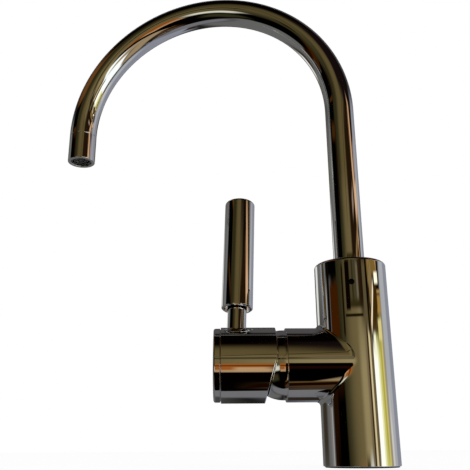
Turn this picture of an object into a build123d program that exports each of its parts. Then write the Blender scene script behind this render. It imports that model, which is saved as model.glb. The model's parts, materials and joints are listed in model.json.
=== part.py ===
from build123d import *
import math
import os

# Basin mixer tap, in millimetres. The origin is the middle of the base on the deck and +Z is up.
# The lever arm points to -X. Distances "along the arm" are measured from the body's axis outwards.

# Running and sliding clearances
SHAFT_CLEARANCE = 0.08
DISC_CLEARANCE = 0.02
GUIDE_CLEARANCE = 0.10
BALL_CLEARANCE = 0.15
MOVING_GAP = 0.35
ASSEMBLY_GAP = 0.10
OVERRUN = 1.0

# Cartridge, which sets the widths of the arm and the body
CARTRIDGE_D = 34.8
CARTRIDGE_WALL = 1.9
CARTRIDGE_BASE_T = 5.0
DISC_T = 4.0
DISC_EDGE_GAP = 0.28
CARRIER_T = 6.0
ROTOR_FLANGE_T = 3.0
ROTOR_D = 22.6
ROTOR_PROUD = 1.8
SHOULDER_T = 1.8
CARTRIDGE_NECK_WALL = 2.2
CARTRIDGE_PROUD = 4.6
INLET_PORT_R = 2.2
INLET_PORT_UP = 4.0
INLET_PORT_SIDE = 5.5
OUTLET_PORT_R = 3.0
OUTLET_PORT_DOWN = 4.5
MIX_RECESS_R = 7.0
MIX_RECESS_DOWN = 2.2
MIX_RECESS_T = 2.0
SEAL_WIDTH = 1.1

# Arm, nut and domed neck ring
ARM_Z = 59.1
ARM_FACE = 43.0
CHAMBER_DEPTH = 29.0
NUT_THREAD_T = 1.1
NUT_HEX_WALL = 1.8
NUT_HEAD_T = 5.0
NECK_SKIRT_T = 2.3
NECK_SKIRT_DEPTH = 2.5
ARM_WALL = 1.3
NECK_WALL = 1.4
NECK_EDGE_ANGLE = 40.0

# Lever stem and its pivot
PIVOT_PROUD = 1.5
OPEN_TILT = 25.0
STEM_SIDE = 8.0
STEM_L = 23.3
STEM_NECK_R = 2.3
STEM_BALL_R = 2.8
STEM_BALL_LIFT = 3.2
STEM_SHOULDER = 6.0
STEM_PIN_R = 1.5
HANDLE_SCREW_R = 2.5
HANDLE_SCREW_DEPTH = 9.0
HANDLE_SCREW_HEAD_R = 4.25
HANDLE_SCREW_HEAD_T = 5.0
HANDLE_SCREW_HEX = 4.0
HANDLE_SCREW_HEX_T = 2.4

# Lever housing and its end cover
HOUSING_WALL = 1.4
NECK_SHOW = 6.2
HOUSING_L = 33.2
HOUSING_WEB_T = 3.8
HUB_R = 7.0
HUB_L = 7.0
TILT_GAP = 2.2
SCREW_RECESS_R = 6.0
COVER_L = 4.5
COVER_SEAM = 0.5
COVER_SEAM_DEPTH = 0.9
COVER_STEP = 0.6
COVER_EDGE_R = 1.3
COVER_PLUG_R = 15.0
COVER_PLUG_T = 3.2
COVER_DISC_T = 2.0

# Lever pin and grip
LEVER_TURN = 7.8
LEVER_LEAN = 2.0
PIN_IN = 24.3
PIN_D = 12.0
PIN_SEAT_DEPTH = 1.3
PIN_FIT = 0.02
PIN_THREAD_R = 4.0
PIN_THREAD_L = 9.5
GRIP_D = 20.0
GRIP_START = 36.0
GRIP_L = 76.2
GRIP_RECESS_R = 8.4
GRIP_RECESS_T = 5.0
GRIP_TOP_R = 1.6
GRIP_BEVEL = 0.6
PIN_IN_GRIP = 12.0
GRIP_THREAD_L = 10.0

# Body and base
BODY_H = 121.8
BODY_STEP = 0.3
BODY_EDGE_R = 2.0
ARM_BLEND_R = 2.5
BASE_EDGE = 0.5
GASKET_T = 1.8
GASKET_INSET = 0.6
BASE_CAVITY_D = 35.0
BASE_CAVITY_TOP = 24.0
INLET_X = -6.0
INLET_Y = 8.5
INLET_THREAD_R = 4.5
INLET_THREAD_L = 12.0
INLET_CHANNEL_R = 3.8
STUD_X = 9.0
STUD_THREAD_R = 3.4
STUD_THREAD_L = 15.0
OUTLET_CHANNEL_X = 5.0
OUTLET_CHANNEL_R = 4.0

# Spout and its bearing in the body
SPOUT_TURN = -11.7
TUBE_D = 19.6
TUBE_WALL = 1.0
ARCH_R = 95.4
ARCH_Z = 234.0
SOCKET_GAP = 1.2
SOCKET_DEPTH = 35.8
TUBE_DEPTH = 11.8
SPIGOT_NOSE_L = 9.0
SPIGOT_BORE_R = 6.0
RING_DEPTH = 5.8
RING_SINK = 0.4
RING_WALL = 1.6
SEAL_RING_T = 2.0
SEAL_RING_H = 2.4
SEAL_RING_LEVELS = (4.5, 9.5)
LOCK_SCREW_TURN = -99.25
LOCK_SCREW_DROP = 16.0
LOCK_SCREW_R = 1.8
LOCK_SCREW_SINK = 2.2
LOCK_SCREW_HEX = 2.0
LOCK_POINT_R = 1.3
LOCK_GROOVE_H = 4.4
LOCK_GROOVE_T = 1.7
LOCK_POINT_GAP = 0.6

# Outlet with its aerator
OUTLET_L = 20.9
OUTLET_SEAM = 0.4
OUTLET_SEAM_DEPTH = 0.5
OUTLET_LIP = 0.5
OUTLET_LEDGE = 3.6
OUTLET_LEDGE_W = 0.5
AERATOR_NECK_L = 4.0
AERATOR_NECK_GAP = 0.15
AERATOR_WALL = 0.85
GAUZE_T = 0.5
INSERT_T = 11.0
INSERT_WALL = 1.0
INSERT_PLATE_T = 1.5
INSERT_HOLE_R = 0.8
INSERT_HOLES = 6
INSERT_HOLE_CIRCLE_R = 4.6
WASHER_T = 2.0
WASHER_BORE_R = 5.6

# Widths that follow from the cartridge and the spout tube
CARTRIDGE_R = CARTRIDGE_D / 2
CHAMBER_R = CARTRIDGE_R + ASSEMBLY_GAP
NUT_R = CHAMBER_R + NUT_THREAD_T
SKIRT_R = NUT_R + NECK_SKIRT_T
ARM_R = SKIRT_R + ARM_WALL
BODY_R = ARM_R + BODY_STEP
NECK_R = math.hypot(SKIRT_R, PIVOT_PROUD)
HOUSING_BORE_R = NECK_R + MOVING_GAP
HOUSING_R = HOUSING_BORE_R + HOUSING_WALL
CARTRIDGE_BORE_R = CARTRIDGE_R - CARTRIDGE_WALL
AERATOR_NECK_R = TUBE_D / 2 - TUBE_WALL - AERATOR_NECK_GAP
AERATOR_BORE_R = AERATOR_NECK_R - AERATOR_WALL

# Places along the arm that follow from its face and the cartridge's stack
CARTRIDGE_SEAT = ARM_FACE - CHAMBER_DEPTH
CARTRIDGE_TOP = ARM_FACE + CARTRIDGE_PROUD
ROTOR_TOP = CARTRIDGE_TOP + ROTOR_PROUD
PIVOT = ARM_FACE + PIVOT_PROUD
STEM_END = PIVOT + STEM_L
HOUSING_MOUTH = ARM_FACE + NECK_SHOW
HOUSING_END = HOUSING_MOUTH + HOUSING_L
COVER_END = HOUSING_END + COVER_L
PIN_PLACE = HOUSING_MOUTH + PIN_IN
DISC_START = CARTRIDGE_SEAT + CARTRIDGE_BASE_T
MOVING_DISC_START = DISC_START + DISC_T + DISC_CLEARANCE
CARRIER_START = MOVING_DISC_START + DISC_T
ROTOR_START = CARRIER_START + CARRIER_T + MOVING_GAP
ROTOR_SHOULDER = ROTOR_START + ROTOR_FLANGE_T
HOUSING_SHOULDER = ROTOR_SHOULDER + SHAFT_CLEARANCE
NUT_START = HOUSING_SHOULDER + SHOULDER_T
BALL_PLACE = CARRIER_START + STEM_BALL_LIFT
DISC_TRAVEL = (PIVOT - BALL_PLACE) * math.sin(math.radians(OPEN_TILT))
MOVING_DISC_R = CARTRIDGE_BORE_R - DISC_TRAVEL / 2 - DISC_EDGE_GAP
CARTRIDGE_NECK_R = ROTOR_D / 2 + SHAFT_CLEARANCE + CARTRIDGE_NECK_WALL
NUT_BORE_R = CARTRIDGE_NECK_R + ASSEMBLY_GAP

# Levels of the spout's bearing
SOCKET_FLOOR = BODY_H - SOCKET_DEPTH
SOCKET_R = TUBE_D / 2 + SOCKET_GAP
TUBE_START = BODY_H - TUBE_DEPTH
LOCK_SCREW_Z = BODY_H - LOCK_SCREW_DROP

# Frames: local z runs outwards along the arm and local x points up, towards the grip
ARM = Plane(origin=(0, 0, ARM_Z), x_dir=(0, 0, 1), z_dir=(-1, 0, 0))
LEVER = ARM * Rot(0, 0, LEVER_TURN)
SPOUT = Rot(0, 0, SPOUT_TURN)


def turned(*points, rounds=()):
    """A solid turned about Z from corners (radius, height); rounds holds (corner, radius)."""
    corners = [(r, 0, h) for r, h in points]
    face = make_face(Polyline(*corners, close=True)).face()
    for corner, radius in rounds:
        vertex = face.vertices().sort_by_distance(corners[corner])[0]
        face = face.fillet_2d(radius, [vertex])
    return revolve(face, Axis.Z)


def ring(inner, outer, low, high):
    """A plain ring about Z."""
    return turned((inner, low), (outer, low), (outer, high), (inner, high))


def disc(radius, low, high):
    """A plain disc or rod about Z."""
    return Pos(0, 0, low) * Cylinder(radius, high - low, align=(Align.CENTER, Align.CENTER, Align.MIN))


def block(x_side, y_side, low, high):
    """A bar of rectangular section about Z."""
    return Pos(0, 0, low) * Box(x_side, y_side, high - low, align=(Align.CENTER, Align.CENTER, Align.MIN))


def hexagon(across_flats, low, high):
    """A hexagonal bar about Z."""
    outline = RegularPolygon(across_flats / 2, 6, major_radius=False)
    return Pos(0, 0, low) * extrude(outline, high - low)


def cross_rod(radius, length):
    """A rod across the lever's pivot, along local y."""
    return Pos(0, 0, PIVOT) * Rot(90, 0, 0) * Cylinder(radius, length)


def stem_reach(half_width, distance):
    """How far the leaning stem's side stands from the axis, at a distance from where they cross."""
    tilt = math.radians(OPEN_TILT)
    return half_width / math.cos(tilt) + distance * math.tan(tilt)


def ports(low, high, growth=0.0):
    """The three water ways of the cartridge, as rods in the arm's frame."""
    inlet = disc(INLET_PORT_R + growth, low, high)
    outlet = disc(OUTLET_PORT_R + growth, low, high)
    return (
        Pos(INLET_PORT_UP, INLET_PORT_SIDE, 0) * inlet
        + Pos(INLET_PORT_UP, -INLET_PORT_SIDE, 0) * inlet
        + Pos(-OUTLET_PORT_DOWN, 0, 0) * outlet
    )


def lock_screw_frame():
    """The frame of the spout lock screw: local z runs outwards from the body's axis."""
    turn = math.radians(LOCK_SCREW_TURN)
    return Plane(origin=(0, 0, LOCK_SCREW_Z), z_dir=(math.cos(turn), math.sin(turn), 0))


def pin_frame():
    """The frame of the lever pin: local z runs up the pin from the arm's axis."""
    return LEVER * Pos(0, 0, PIN_PLACE) * Rot(0, 90 + LEVER_LEAN, 0)


def make_tap_body():
    upright = turned(
        (0, GASKET_T), (BODY_R - BASE_EDGE, GASKET_T), (BODY_R, GASKET_T + BASE_EDGE),
        (BODY_R, BODY_H), (0, BODY_H), rounds=[(3, BODY_EDGE_R)],
    )
    arm = ARM * disc(ARM_R, 0, ARM_FACE)
    body = upright + arm
    seam = [e for e in body.edges() if e.geom_type not in (GeomType.LINE, GeomType.CIRCLE)]
    body = fillet(seam, ARM_BLEND_R)
    body -= disc(BASE_CAVITY_D / 2, GASKET_T - OVERRUN, BASE_CAVITY_TOP)
    chamber = (
        disc(CHAMBER_R, CARTRIDGE_SEAT, ARM_FACE)
        + disc(NUT_R, NUT_START, ARM_FACE)
        + disc(SKIRT_R, ARM_FACE - NECK_SKIRT_DEPTH, ARM_FACE + OVERRUN)
    )
    body -= ARM * chamber
    body -= disc(SOCKET_R, SOCKET_FLOOR, BODY_H + OVERRUN)
    body -= disc(SOCKET_R + RING_WALL, BODY_H - RING_DEPTH, BODY_H + OVERRUN)
    inlet_way = disc(INLET_CHANNEL_R, BASE_CAVITY_TOP, ARM_Z + INLET_PORT_UP + INLET_CHANNEL_R)
    inlet_way += disc(INLET_THREAD_R, BASE_CAVITY_TOP - OVERRUN, BASE_CAVITY_TOP + INLET_THREAD_L)
    inlet_port = ARM * disc(INLET_PORT_R, -INLET_X, CARTRIDGE_SEAT + OVERRUN)
    for side in (-1, 1):
        body -= Pos(INLET_X, side * INLET_Y, 0) * inlet_way
        body -= Pos(0, side * INLET_PORT_SIDE, INLET_PORT_UP) * inlet_port
    outlet_z = ARM_Z - OUTLET_PORT_DOWN
    outlet_port = ARM * disc(OUTLET_PORT_R, -OUTLET_CHANNEL_X, CARTRIDGE_SEAT + OVERRUN)
    body -= Pos(0, 0, -OUTLET_PORT_DOWN) * outlet_port
    outlet_way = disc(OUTLET_CHANNEL_R, outlet_z - OUTLET_PORT_R, SOCKET_FLOOR + OVERRUN)
    body -= Pos(OUTLET_CHANNEL_X, 0, 0) * outlet_way
    stud_way = disc(STUD_THREAD_R, BASE_CAVITY_TOP - OVERRUN, BASE_CAVITY_TOP + STUD_THREAD_L)
    body -= Pos(STUD_X, 0, 0) * stud_way
    body -= lock_screw_frame() * disc(LOCK_SCREW_R, SOCKET_R - OVERRUN, BODY_R + OVERRUN)
    return body


def make_base_gasket():
    return ring(BASE_CAVITY_D / 2, BODY_R - GASKET_INSET, 0, GASKET_T)


def make_spout_lock_screw():
    top = BODY_R - LOCK_SCREW_SINK
    tip = SOCKET_R + SHAFT_CLEARANCE - LOCK_GROOVE_T + LOCK_POINT_GAP
    screw = turned(
        (0, tip), (LOCK_POINT_R, tip), (LOCK_POINT_R, SOCKET_R + OVERRUN),
        (LOCK_SCREW_R, SOCKET_R + OVERRUN), (LOCK_SCREW_R, top), (0, top),
    )
    screw -= hexagon(LOCK_SCREW_HEX, top - LOCK_SCREW_HEX, top + OVERRUN)
    return lock_screw_frame() * screw


def make_spout_bearing_ring():
    inner = TUBE_D / 2 + SHAFT_CLEARANCE
    return ring(inner, SOCKET_R + RING_WALL, BODY_H - RING_DEPTH, BODY_H - RING_SINK)


def make_spout_tube():
    profile = Circle(TUBE_D / 2) - Circle(TUBE_D / 2 - TUBE_WALL)
    leg = extrude(Pos(0, 0, TUBE_START) * profile, ARCH_Z - TUBE_START)
    bend = revolve(Pos(0, 0, ARCH_Z) * profile, Axis((-ARCH_R, 0, ARCH_Z), (0, -1, 0)), 180)
    return SPOUT * (leg + bend)


def make_spout_spigot():
    low = SOCKET_FLOOR + SHAFT_CLEARANCE
    wide = SOCKET_R - SHAFT_CLEARANCE
    nose = TUBE_D / 2 - TUBE_WALL
    spigot = turned(
        (SPIGOT_BORE_R, low), (wide, low), (wide, TUBE_START), (nose, TUBE_START),
        (nose, TUBE_START + SPIGOT_NOSE_L), (SPIGOT_BORE_R, TUBE_START + SPIGOT_NOSE_L),
    )
    for level in SEAL_RING_LEVELS:
        spigot -= ring(wide - SEAL_RING_T, wide + OVERRUN, low + level, low + level + SEAL_RING_H)
    half = LOCK_GROOVE_H / 2
    spigot -= ring(wide - LOCK_GROOVE_T, wide + OVERRUN, LOCK_SCREW_Z - half, LOCK_SCREW_Z + half)
    return spigot


def make_spout_seals():
    """Two square-section rubber rings in the spigot's grooves."""
    outer = SOCKET_R - SHAFT_CLEARANCE / 2
    seal = ring(SOCKET_R - SHAFT_CLEARANCE - SEAL_RING_T, outer, 0, SEAL_RING_H)
    low = SOCKET_FLOOR + SHAFT_CLEARANCE
    return Compound(children=[Pos(0, 0, low + level) * seal for level in SEAL_RING_LEVELS])


def outlet_frame():
    """The frame of the outlet: local z is up and the origin lies in the tube's end."""
    return SPOUT * Pos(-2 * ARCH_R, 0, ARCH_Z)


def make_aerator_housing():
    outer = TUBE_D / 2
    mouth = AERATOR_BORE_R - OUTLET_LEDGE_W
    seam = outer - OUTLET_SEAM_DEPTH
    end = -OUTLET_L
    housing = turned(
        (mouth, end + OUTLET_LIP), (mouth + OUTLET_LIP, end), (outer - OUTLET_LIP, end), (outer, end + OUTLET_LIP),
        (outer, -OUTLET_SEAM), (seam, -OUTLET_SEAM), (seam, 0), (AERATOR_NECK_R, 0),
        (AERATOR_NECK_R, AERATOR_NECK_L), (AERATOR_BORE_R, AERATOR_NECK_L),
        (AERATOR_BORE_R, end + OUTLET_LEDGE), (mouth, end + OUTLET_LEDGE),
    )
    return outlet_frame() * housing


def make_aerator_gauze():
    low = -OUTLET_L + OUTLET_LEDGE
    return outlet_frame() * disc(AERATOR_BORE_R, low, low + GAUZE_T)


def make_aerator_insert():
    bore = AERATOR_BORE_R
    low = -OUTLET_L + OUTLET_LEDGE + GAUZE_T
    high = low + INSERT_T
    insert = ring(bore - INSERT_WALL, bore, low, high) + disc(bore, high - INSERT_PLATE_T, high)
    hole = disc(INSERT_HOLE_R, low, high + OVERRUN)
    insert -= PolarLocations(INSERT_HOLE_CIRCLE_R, INSERT_HOLES) * hole
    return outlet_frame() * insert


def make_aerator_washer():
    low = -OUTLET_L + OUTLET_LEDGE + GAUZE_T + INSERT_T
    return outlet_frame() * ring(WASHER_BORE_R, AERATOR_BORE_R, low, low + WASHER_T)


def make_cartridge_base():
    base = disc(CARTRIDGE_R, CARTRIDGE_SEAT, DISC_START)
    return ARM * (base - ports(CARTRIDGE_SEAT - OVERRUN, DISC_START + OVERRUN, SEAL_WIDTH))


def make_cartridge_seals():
    """Three rubber sleeves that line the base's ports and seal both of its faces."""
    sleeves = ports(CARTRIDGE_SEAT, DISC_START, SEAL_WIDTH)
    return ARM * (sleeves - ports(CARTRIDGE_SEAT - OVERRUN, DISC_START + OVERRUN))


def make_fixed_disc():
    return ARM * (disc(CARTRIDGE_BORE_R, DISC_START, DISC_START + DISC_T)
                  - ports(DISC_START - OVERRUN, DISC_START + DISC_T + OVERRUN))


def make_cartridge_housing():
    neck = CARTRIDGE_NECK_R
    neck_bore = neck - CARTRIDGE_NECK_WALL
    return ARM * turned(
        (CARTRIDGE_BORE_R, DISC_START), (CARTRIDGE_R, DISC_START), (CARTRIDGE_R, NUT_START),
        (neck, NUT_START), (neck, CARTRIDGE_TOP), (neck_bore, CARTRIDGE_TOP),
        (neck_bore, HOUSING_SHOULDER), (CARTRIDGE_BORE_R, HOUSING_SHOULDER),
    )


def make_moving_disc():
    offset = -DISC_TRAVEL / 2
    plate = disc(MOVING_DISC_R, MOVING_DISC_START, MOVING_DISC_START + DISC_T)
    recess = disc(MIX_RECESS_R, MOVING_DISC_START - OVERRUN, MOVING_DISC_START + MIX_RECESS_T)
    return LEVER * (Pos(offset, 0, 0) * (plate - Pos(-MIX_RECESS_DOWN, 0, 0) * recess))


def make_disc_carrier():
    """The plate that drives the moving disc; its ball socket flares where the stem leans over."""
    top = CARRIER_START + CARRIER_T
    carrier = Pos(-DISC_TRAVEL / 2, 0, 0) * disc(MOVING_DISC_R, CARRIER_START, top)
    socket = STEM_BALL_R + BALL_CLEARANCE
    carrier -= disc(socket, BALL_PLACE - socket, top + OVERRUN)
    mouth = stem_reach(STEM_NECK_R, top - BALL_PLACE) + BALL_CLEARANCE
    flare = Cone(socket, mouth, top - BALL_PLACE, align=(Align.CENTER, Align.CENTER, Align.MIN))
    carrier -= Pos(0, 0, BALL_PLACE) * flare
    return LEVER * carrier


def make_cartridge_rotor():
    flange_r = CARTRIDGE_BORE_R - GUIDE_CLEARANCE
    rotor = disc(flange_r, ROTOR_START, ROTOR_SHOULDER) + disc(ROTOR_D / 2, ROTOR_START, ROTOR_TOP)
    reach_up = DISC_TRAVEL + STEM_BALL_R + MOVING_GAP
    reach_down = stem_reach(STEM_SIDE / 2, ROTOR_TOP - PIVOT) + MOVING_GAP
    slot_side = STEM_SIDE + 2 * GUIDE_CLEARANCE
    slot = block(reach_up + reach_down, slot_side, ROTOR_START - OVERRUN, ROTOR_TOP + OVERRUN)
    rotor -= Pos((reach_up - reach_down) / 2, 0, 0) * slot
    rotor -= cross_rod(STEM_PIN_R, ROTOR_D + OVERRUN)
    return LEVER * rotor


def make_stem_pin():
    return LEVER * cross_rod(STEM_PIN_R, ROTOR_D - 2 * OVERRUN)


def make_stem():
    stem = block(STEM_SIDE, STEM_SIDE, PIVOT - STEM_SHOULDER, STEM_END)
    stem += disc(STEM_NECK_R, BALL_PLACE, PIVOT - STEM_SHOULDER)
    stem += Pos(0, 0, BALL_PLACE) * Sphere(STEM_BALL_R)
    stem -= cross_rod(STEM_PIN_R + SHAFT_CLEARANCE / 2, STEM_SIDE + OVERRUN)
    stem -= disc(HANDLE_SCREW_R, STEM_END - HANDLE_SCREW_DEPTH - OVERRUN, STEM_END + OVERRUN)
    return LEVER * stem


def make_cartridge_nut():
    top = ARM_FACE + NUT_HEAD_T
    flats = 2 * (NUT_BORE_R + NUT_HEX_WALL)
    nut = disc(NUT_R, NUT_START, ARM_FACE) + hexagon(flats, ARM_FACE, top)
    return ARM * (nut - disc(NUT_BORE_R, NUT_START - OVERRUN, top + OVERRUN))


def make_neck_ring():
    def at(radius, angle):
        turn = math.radians(angle)
        return (radius * math.cos(turn), 0, PIVOT + radius * math.sin(turn))

    inner = NECK_R - NECK_WALL
    start = -math.degrees(math.asin(PIVOT_PROUD / NECK_R))
    middle = (start + NECK_EDGE_ANGLE) / 2
    skirt_foot = ARM_FACE - NECK_SKIRT_DEPTH
    skirt_bore = NUT_R + ASSEMBLY_GAP
    outline = [
        ThreePointArc(at(NECK_R, start), at(NECK_R, middle), at(NECK_R, NECK_EDGE_ANGLE)),
        Line(at(NECK_R, NECK_EDGE_ANGLE), at(inner, NECK_EDGE_ANGLE)),
        ThreePointArc(at(inner, NECK_EDGE_ANGLE), at(inner, middle), at(inner, start)),
        Polyline(
            at(inner, start), (skirt_bore, 0, ARM_FACE), (skirt_bore, 0, skirt_foot),
            (SKIRT_R, 0, skirt_foot), at(NECK_R, start),
        ),
    ]
    return ARM * revolve(make_face(outline), Axis.Z)


def make_lever_housing():
    web_start = PIVOT + NECK_R + MOVING_GAP
    web_end = STEM_END + HOUSING_WEB_T / 2
    housing = disc(HOUSING_R, HOUSING_MOUTH, HOUSING_END)
    housing -= disc(HOUSING_BORE_R, HOUSING_MOUTH - OVERRUN, web_start)
    hub_start = web_start - HUB_L
    housing += disc(HUB_R, hub_start, web_start + OVERRUN)
    square = STEM_SIDE + GUIDE_CLEARANCE
    housing -= block(square, square, hub_start - OVERRUN, STEM_END + ASSEMBLY_GAP)
    housing -= disc(HANDLE_SCREW_R + ASSEMBLY_GAP, STEM_END - OVERRUN, web_end + OVERRUN)
    housing -= disc(SCREW_RECESS_R, web_end, HOUSING_END + OVERRUN)
    housing -= disc(COVER_PLUG_R + ASSEMBLY_GAP, HOUSING_END - COVER_PLUG_T, HOUSING_END + OVERRUN)
    tilt = math.radians(OPEN_TILT)
    low_mouth = PIVOT + (HOUSING_R * math.sin(tilt) - PIVOT + ARM_FACE + TILT_GAP) / math.cos(tilt)
    slant = math.degrees(math.atan2(low_mouth - HOUSING_MOUTH, HOUSING_R))
    side = 4 * HOUSING_R
    wedge = Box(side, side, side, align=(Align.MAX, Align.CENTER, Align.MAX))
    housing -= Pos(0, 0, HOUSING_MOUTH) * Rot(0, slant, 0) * wedge
    housing = LEVER * housing
    seat = HOUSING_R - PIN_SEAT_DEPTH
    housing -= pin_frame() * disc(PIN_D / 2 + PIN_FIT, seat, HOUSING_R + 2 * OVERRUN)
    housing -= pin_frame() * disc(PIN_THREAD_R, seat - PIN_THREAD_L - OVERRUN, seat + OVERRUN)
    return housing


def make_end_cover():
    outer = HOUSING_R - COVER_STEP
    face_start = HOUSING_END + COVER_SEAM
    neck = outer - COVER_SEAM_DEPTH
    rim = COVER_PLUG_R - COVER_DISC_T
    plug_start = HOUSING_END - COVER_PLUG_T
    return LEVER * turned(
        (0, COVER_END - COVER_DISC_T - COVER_EDGE_R), (rim, COVER_END - COVER_DISC_T - COVER_EDGE_R),
        (rim, plug_start), (COVER_PLUG_R, plug_start),
        (COVER_PLUG_R, HOUSING_END), (neck, HOUSING_END), (neck, face_start), (outer, face_start),
        (outer, COVER_END), (0, COVER_END), rounds=[(8, COVER_EDGE_R)],
    )


def make_handle_screw():
    seat = STEM_END + HOUSING_WEB_T / 2
    screw = disc(HANDLE_SCREW_R, STEM_END - HANDLE_SCREW_DEPTH, seat)
    screw += disc(HANDLE_SCREW_HEAD_R, seat, seat + HANDLE_SCREW_HEAD_T)
    top = seat + HANDLE_SCREW_HEAD_T
    screw -= hexagon(HANDLE_SCREW_HEX, top - HANDLE_SCREW_HEX_T, top + OVERRUN)
    return LEVER * screw


def make_lever_pin():
    seat = HOUSING_R - PIN_SEAT_DEPTH
    grip_seat = GRIP_START + GRIP_RECESS_T + PIN_IN_GRIP
    pin = disc(PIN_D / 2, seat, grip_seat)
    pin += disc(PIN_THREAD_R, seat - PIN_THREAD_L, seat)
    pin += disc(PIN_THREAD_R, grip_seat, grip_seat + GRIP_THREAD_L)
    return pin_frame() * pin


def make_lever_grip():
    grip_seat = GRIP_START + GRIP_RECESS_T + PIN_IN_GRIP
    end = GRIP_START + GRIP_L
    thread_end = grip_seat + GRIP_THREAD_L + OVERRUN
    return pin_frame() * turned(
        (GRIP_RECESS_R, GRIP_START), (GRIP_D / 2 - GRIP_BEVEL, GRIP_START),
        (GRIP_D / 2, GRIP_START + GRIP_BEVEL), (GRIP_D / 2, end), (0, end),
        (0, thread_end), (PIN_THREAD_R, thread_end), (PIN_THREAD_R, grip_seat), (PIN_D / 2, grip_seat),
        (PIN_D / 2, GRIP_START + GRIP_RECESS_T), (GRIP_RECESS_R, GRIP_START + GRIP_RECESS_T),
        rounds=[(3, GRIP_TOP_R)],
    )


NODES = {
    "tap_body": make_tap_body,
    "base_gasket": make_base_gasket,
    "spout_lock_screw": make_spout_lock_screw,
    "spout_bearing_ring": make_spout_bearing_ring,
    "spout_tube": make_spout_tube,
    "spout_spigot": make_spout_spigot,
    "spout_seals": make_spout_seals,
    "aerator_housing": make_aerator_housing,
    "aerator_gauze": make_aerator_gauze,
    "aerator_insert": make_aerator_insert,
    "aerator_washer": make_aerator_washer,
    "cartridge_base": make_cartridge_base,
    "cartridge_seals": make_cartridge_seals,
    "fixed_disc": make_fixed_disc,
    "cartridge_housing": make_cartridge_housing,
    "moving_disc": make_moving_disc,
    "disc_carrier": make_disc_carrier,
    "cartridge_rotor": make_cartridge_rotor,
    "stem_pin": make_stem_pin,
    "lever_stem": make_stem,
    "cartridge_nut": make_cartridge_nut,
    "neck_ring": make_neck_ring,
    "lever_housing": make_lever_housing,
    "end_cover": make_end_cover,
    "handle_screw": make_handle_screw,
    "lever_pin": make_lever_pin,
    "lever_grip": make_lever_grip,
}

os.makedirs("parts", exist_ok=True)
for name, make in NODES.items():
    export_step(make(), os.path.join("parts", name + ".step"))
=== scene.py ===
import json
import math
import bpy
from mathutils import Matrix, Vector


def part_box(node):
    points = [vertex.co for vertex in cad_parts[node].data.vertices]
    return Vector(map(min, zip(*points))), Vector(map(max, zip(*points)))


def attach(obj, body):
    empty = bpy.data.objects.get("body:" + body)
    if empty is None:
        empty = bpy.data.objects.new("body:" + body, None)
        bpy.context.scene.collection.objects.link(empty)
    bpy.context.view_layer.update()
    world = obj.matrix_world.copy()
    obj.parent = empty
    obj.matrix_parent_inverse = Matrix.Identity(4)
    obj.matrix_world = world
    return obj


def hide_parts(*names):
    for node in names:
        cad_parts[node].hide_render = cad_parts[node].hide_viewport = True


bl_info = {
    "name": "Basin mixer tap",
    "version": (1, 0, 0),
    "blender": (4, 5, 0),
    "location": "3D View > Sidebar > Tap",
    "description": "Surfaces and finishes of a single-lever basin mixer tap, made round its packed frame",
    "category": "Object",
}

import bmesh
import bpy
import numpy as np
from bpy.props import FloatProperty, FloatVectorProperty, IntProperty, PointerProperty
from mathutils import Matrix, Vector

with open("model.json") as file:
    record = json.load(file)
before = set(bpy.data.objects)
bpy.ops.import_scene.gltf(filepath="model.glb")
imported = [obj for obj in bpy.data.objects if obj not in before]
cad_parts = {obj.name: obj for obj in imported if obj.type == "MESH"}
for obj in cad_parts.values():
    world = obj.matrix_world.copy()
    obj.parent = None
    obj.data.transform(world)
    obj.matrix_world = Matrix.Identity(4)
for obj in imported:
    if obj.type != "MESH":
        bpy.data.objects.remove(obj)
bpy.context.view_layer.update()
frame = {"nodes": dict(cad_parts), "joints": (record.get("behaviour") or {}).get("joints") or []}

# How finely the meshes are made: the angle between the points of a rounding, of the neck ring's dome and
# of the bent tube, the points round pieces of different sizes, and the rows of points along the walls
ARC_STEP = math.radians(12)
DOME_STEP = math.radians(3)
BEND_STEP = math.radians(1.8)
TUBE_STEPS = 128
PIN_STEPS = 96
HOLE_STEPS = 48
HEXAGON = 6
WALL_ROWS = 7
BLEND_ROWS = 9
ARM_ROWS = 9
HOUSING_ROWS = 13

# Points closer together than this are joined, in metres
JOIN_DISTANCE = 2e-6

# Roundings finer than the panel's: in the grub screw's key and where the pin enters the grip, in metres
KEY_ROUND = 0.00002
ROOF_ROUND = 0.00005

# How suddenly the blend between the arm and the body widens at the front and the back
BLEND_POWER = 20

UP = np.array((0.0, 0.0, 1.0))
WHITE = (1.0, 1.0, 1.0, 1.0)


def tidy(value):
    """A length read from the frame, to a hundredth of a millimetre."""
    return round(value, 5)


def joint(name):
    """What the frame says about one joint."""
    return next(j for j in frame["joints"] if j["name"] == name)


# Sizes and places that the frame gives
BODY_LOW, BODY_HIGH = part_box("tap_body")
BODY_RADIUS = tidy(BODY_HIGH.x)
BODY_TOP = tidy(BODY_HIGH.z)
BODY_FOOT = tidy(BODY_LOW.z)
ARM_FACE = tidy(-BODY_LOW.x)
PIVOT_POINT = joint("lever_flow")["pos_m"]
PIVOT = -PIVOT_POINT[0]
ARM_HEIGHT = PIVOT_POINT[2]
TILT_AXIS = joint("lever_flow")["axis"]
LEVER_TURN = math.atan2(TILT_AXIS[2], -TILT_AXIS[1])
NECK_RADIUS = tidy(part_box("neck_ring")[1].y)
HOUSING_RADIUS = tidy(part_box("lever_housing")[1].y)
HOUSING_MOUTH = tidy(-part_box("lever_housing")[1].x)
HOUSING_END = tidy(-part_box("lever_housing")[0].x)
COVER_RADIUS = tidy(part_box("end_cover")[1].y)
COVER_END = tidy(-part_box("end_cover")[0].x)
COVER_START = tidy(-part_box("end_cover")[1].x)
TUBE_LOW, TUBE_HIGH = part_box("spout_tube")
TUBE_RADIUS = tidy(TUBE_HIGH.x)
TUBE_START = tidy(TUBE_LOW.z)
OUTLET_LOW, OUTLET_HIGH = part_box("aerator_housing")
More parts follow.
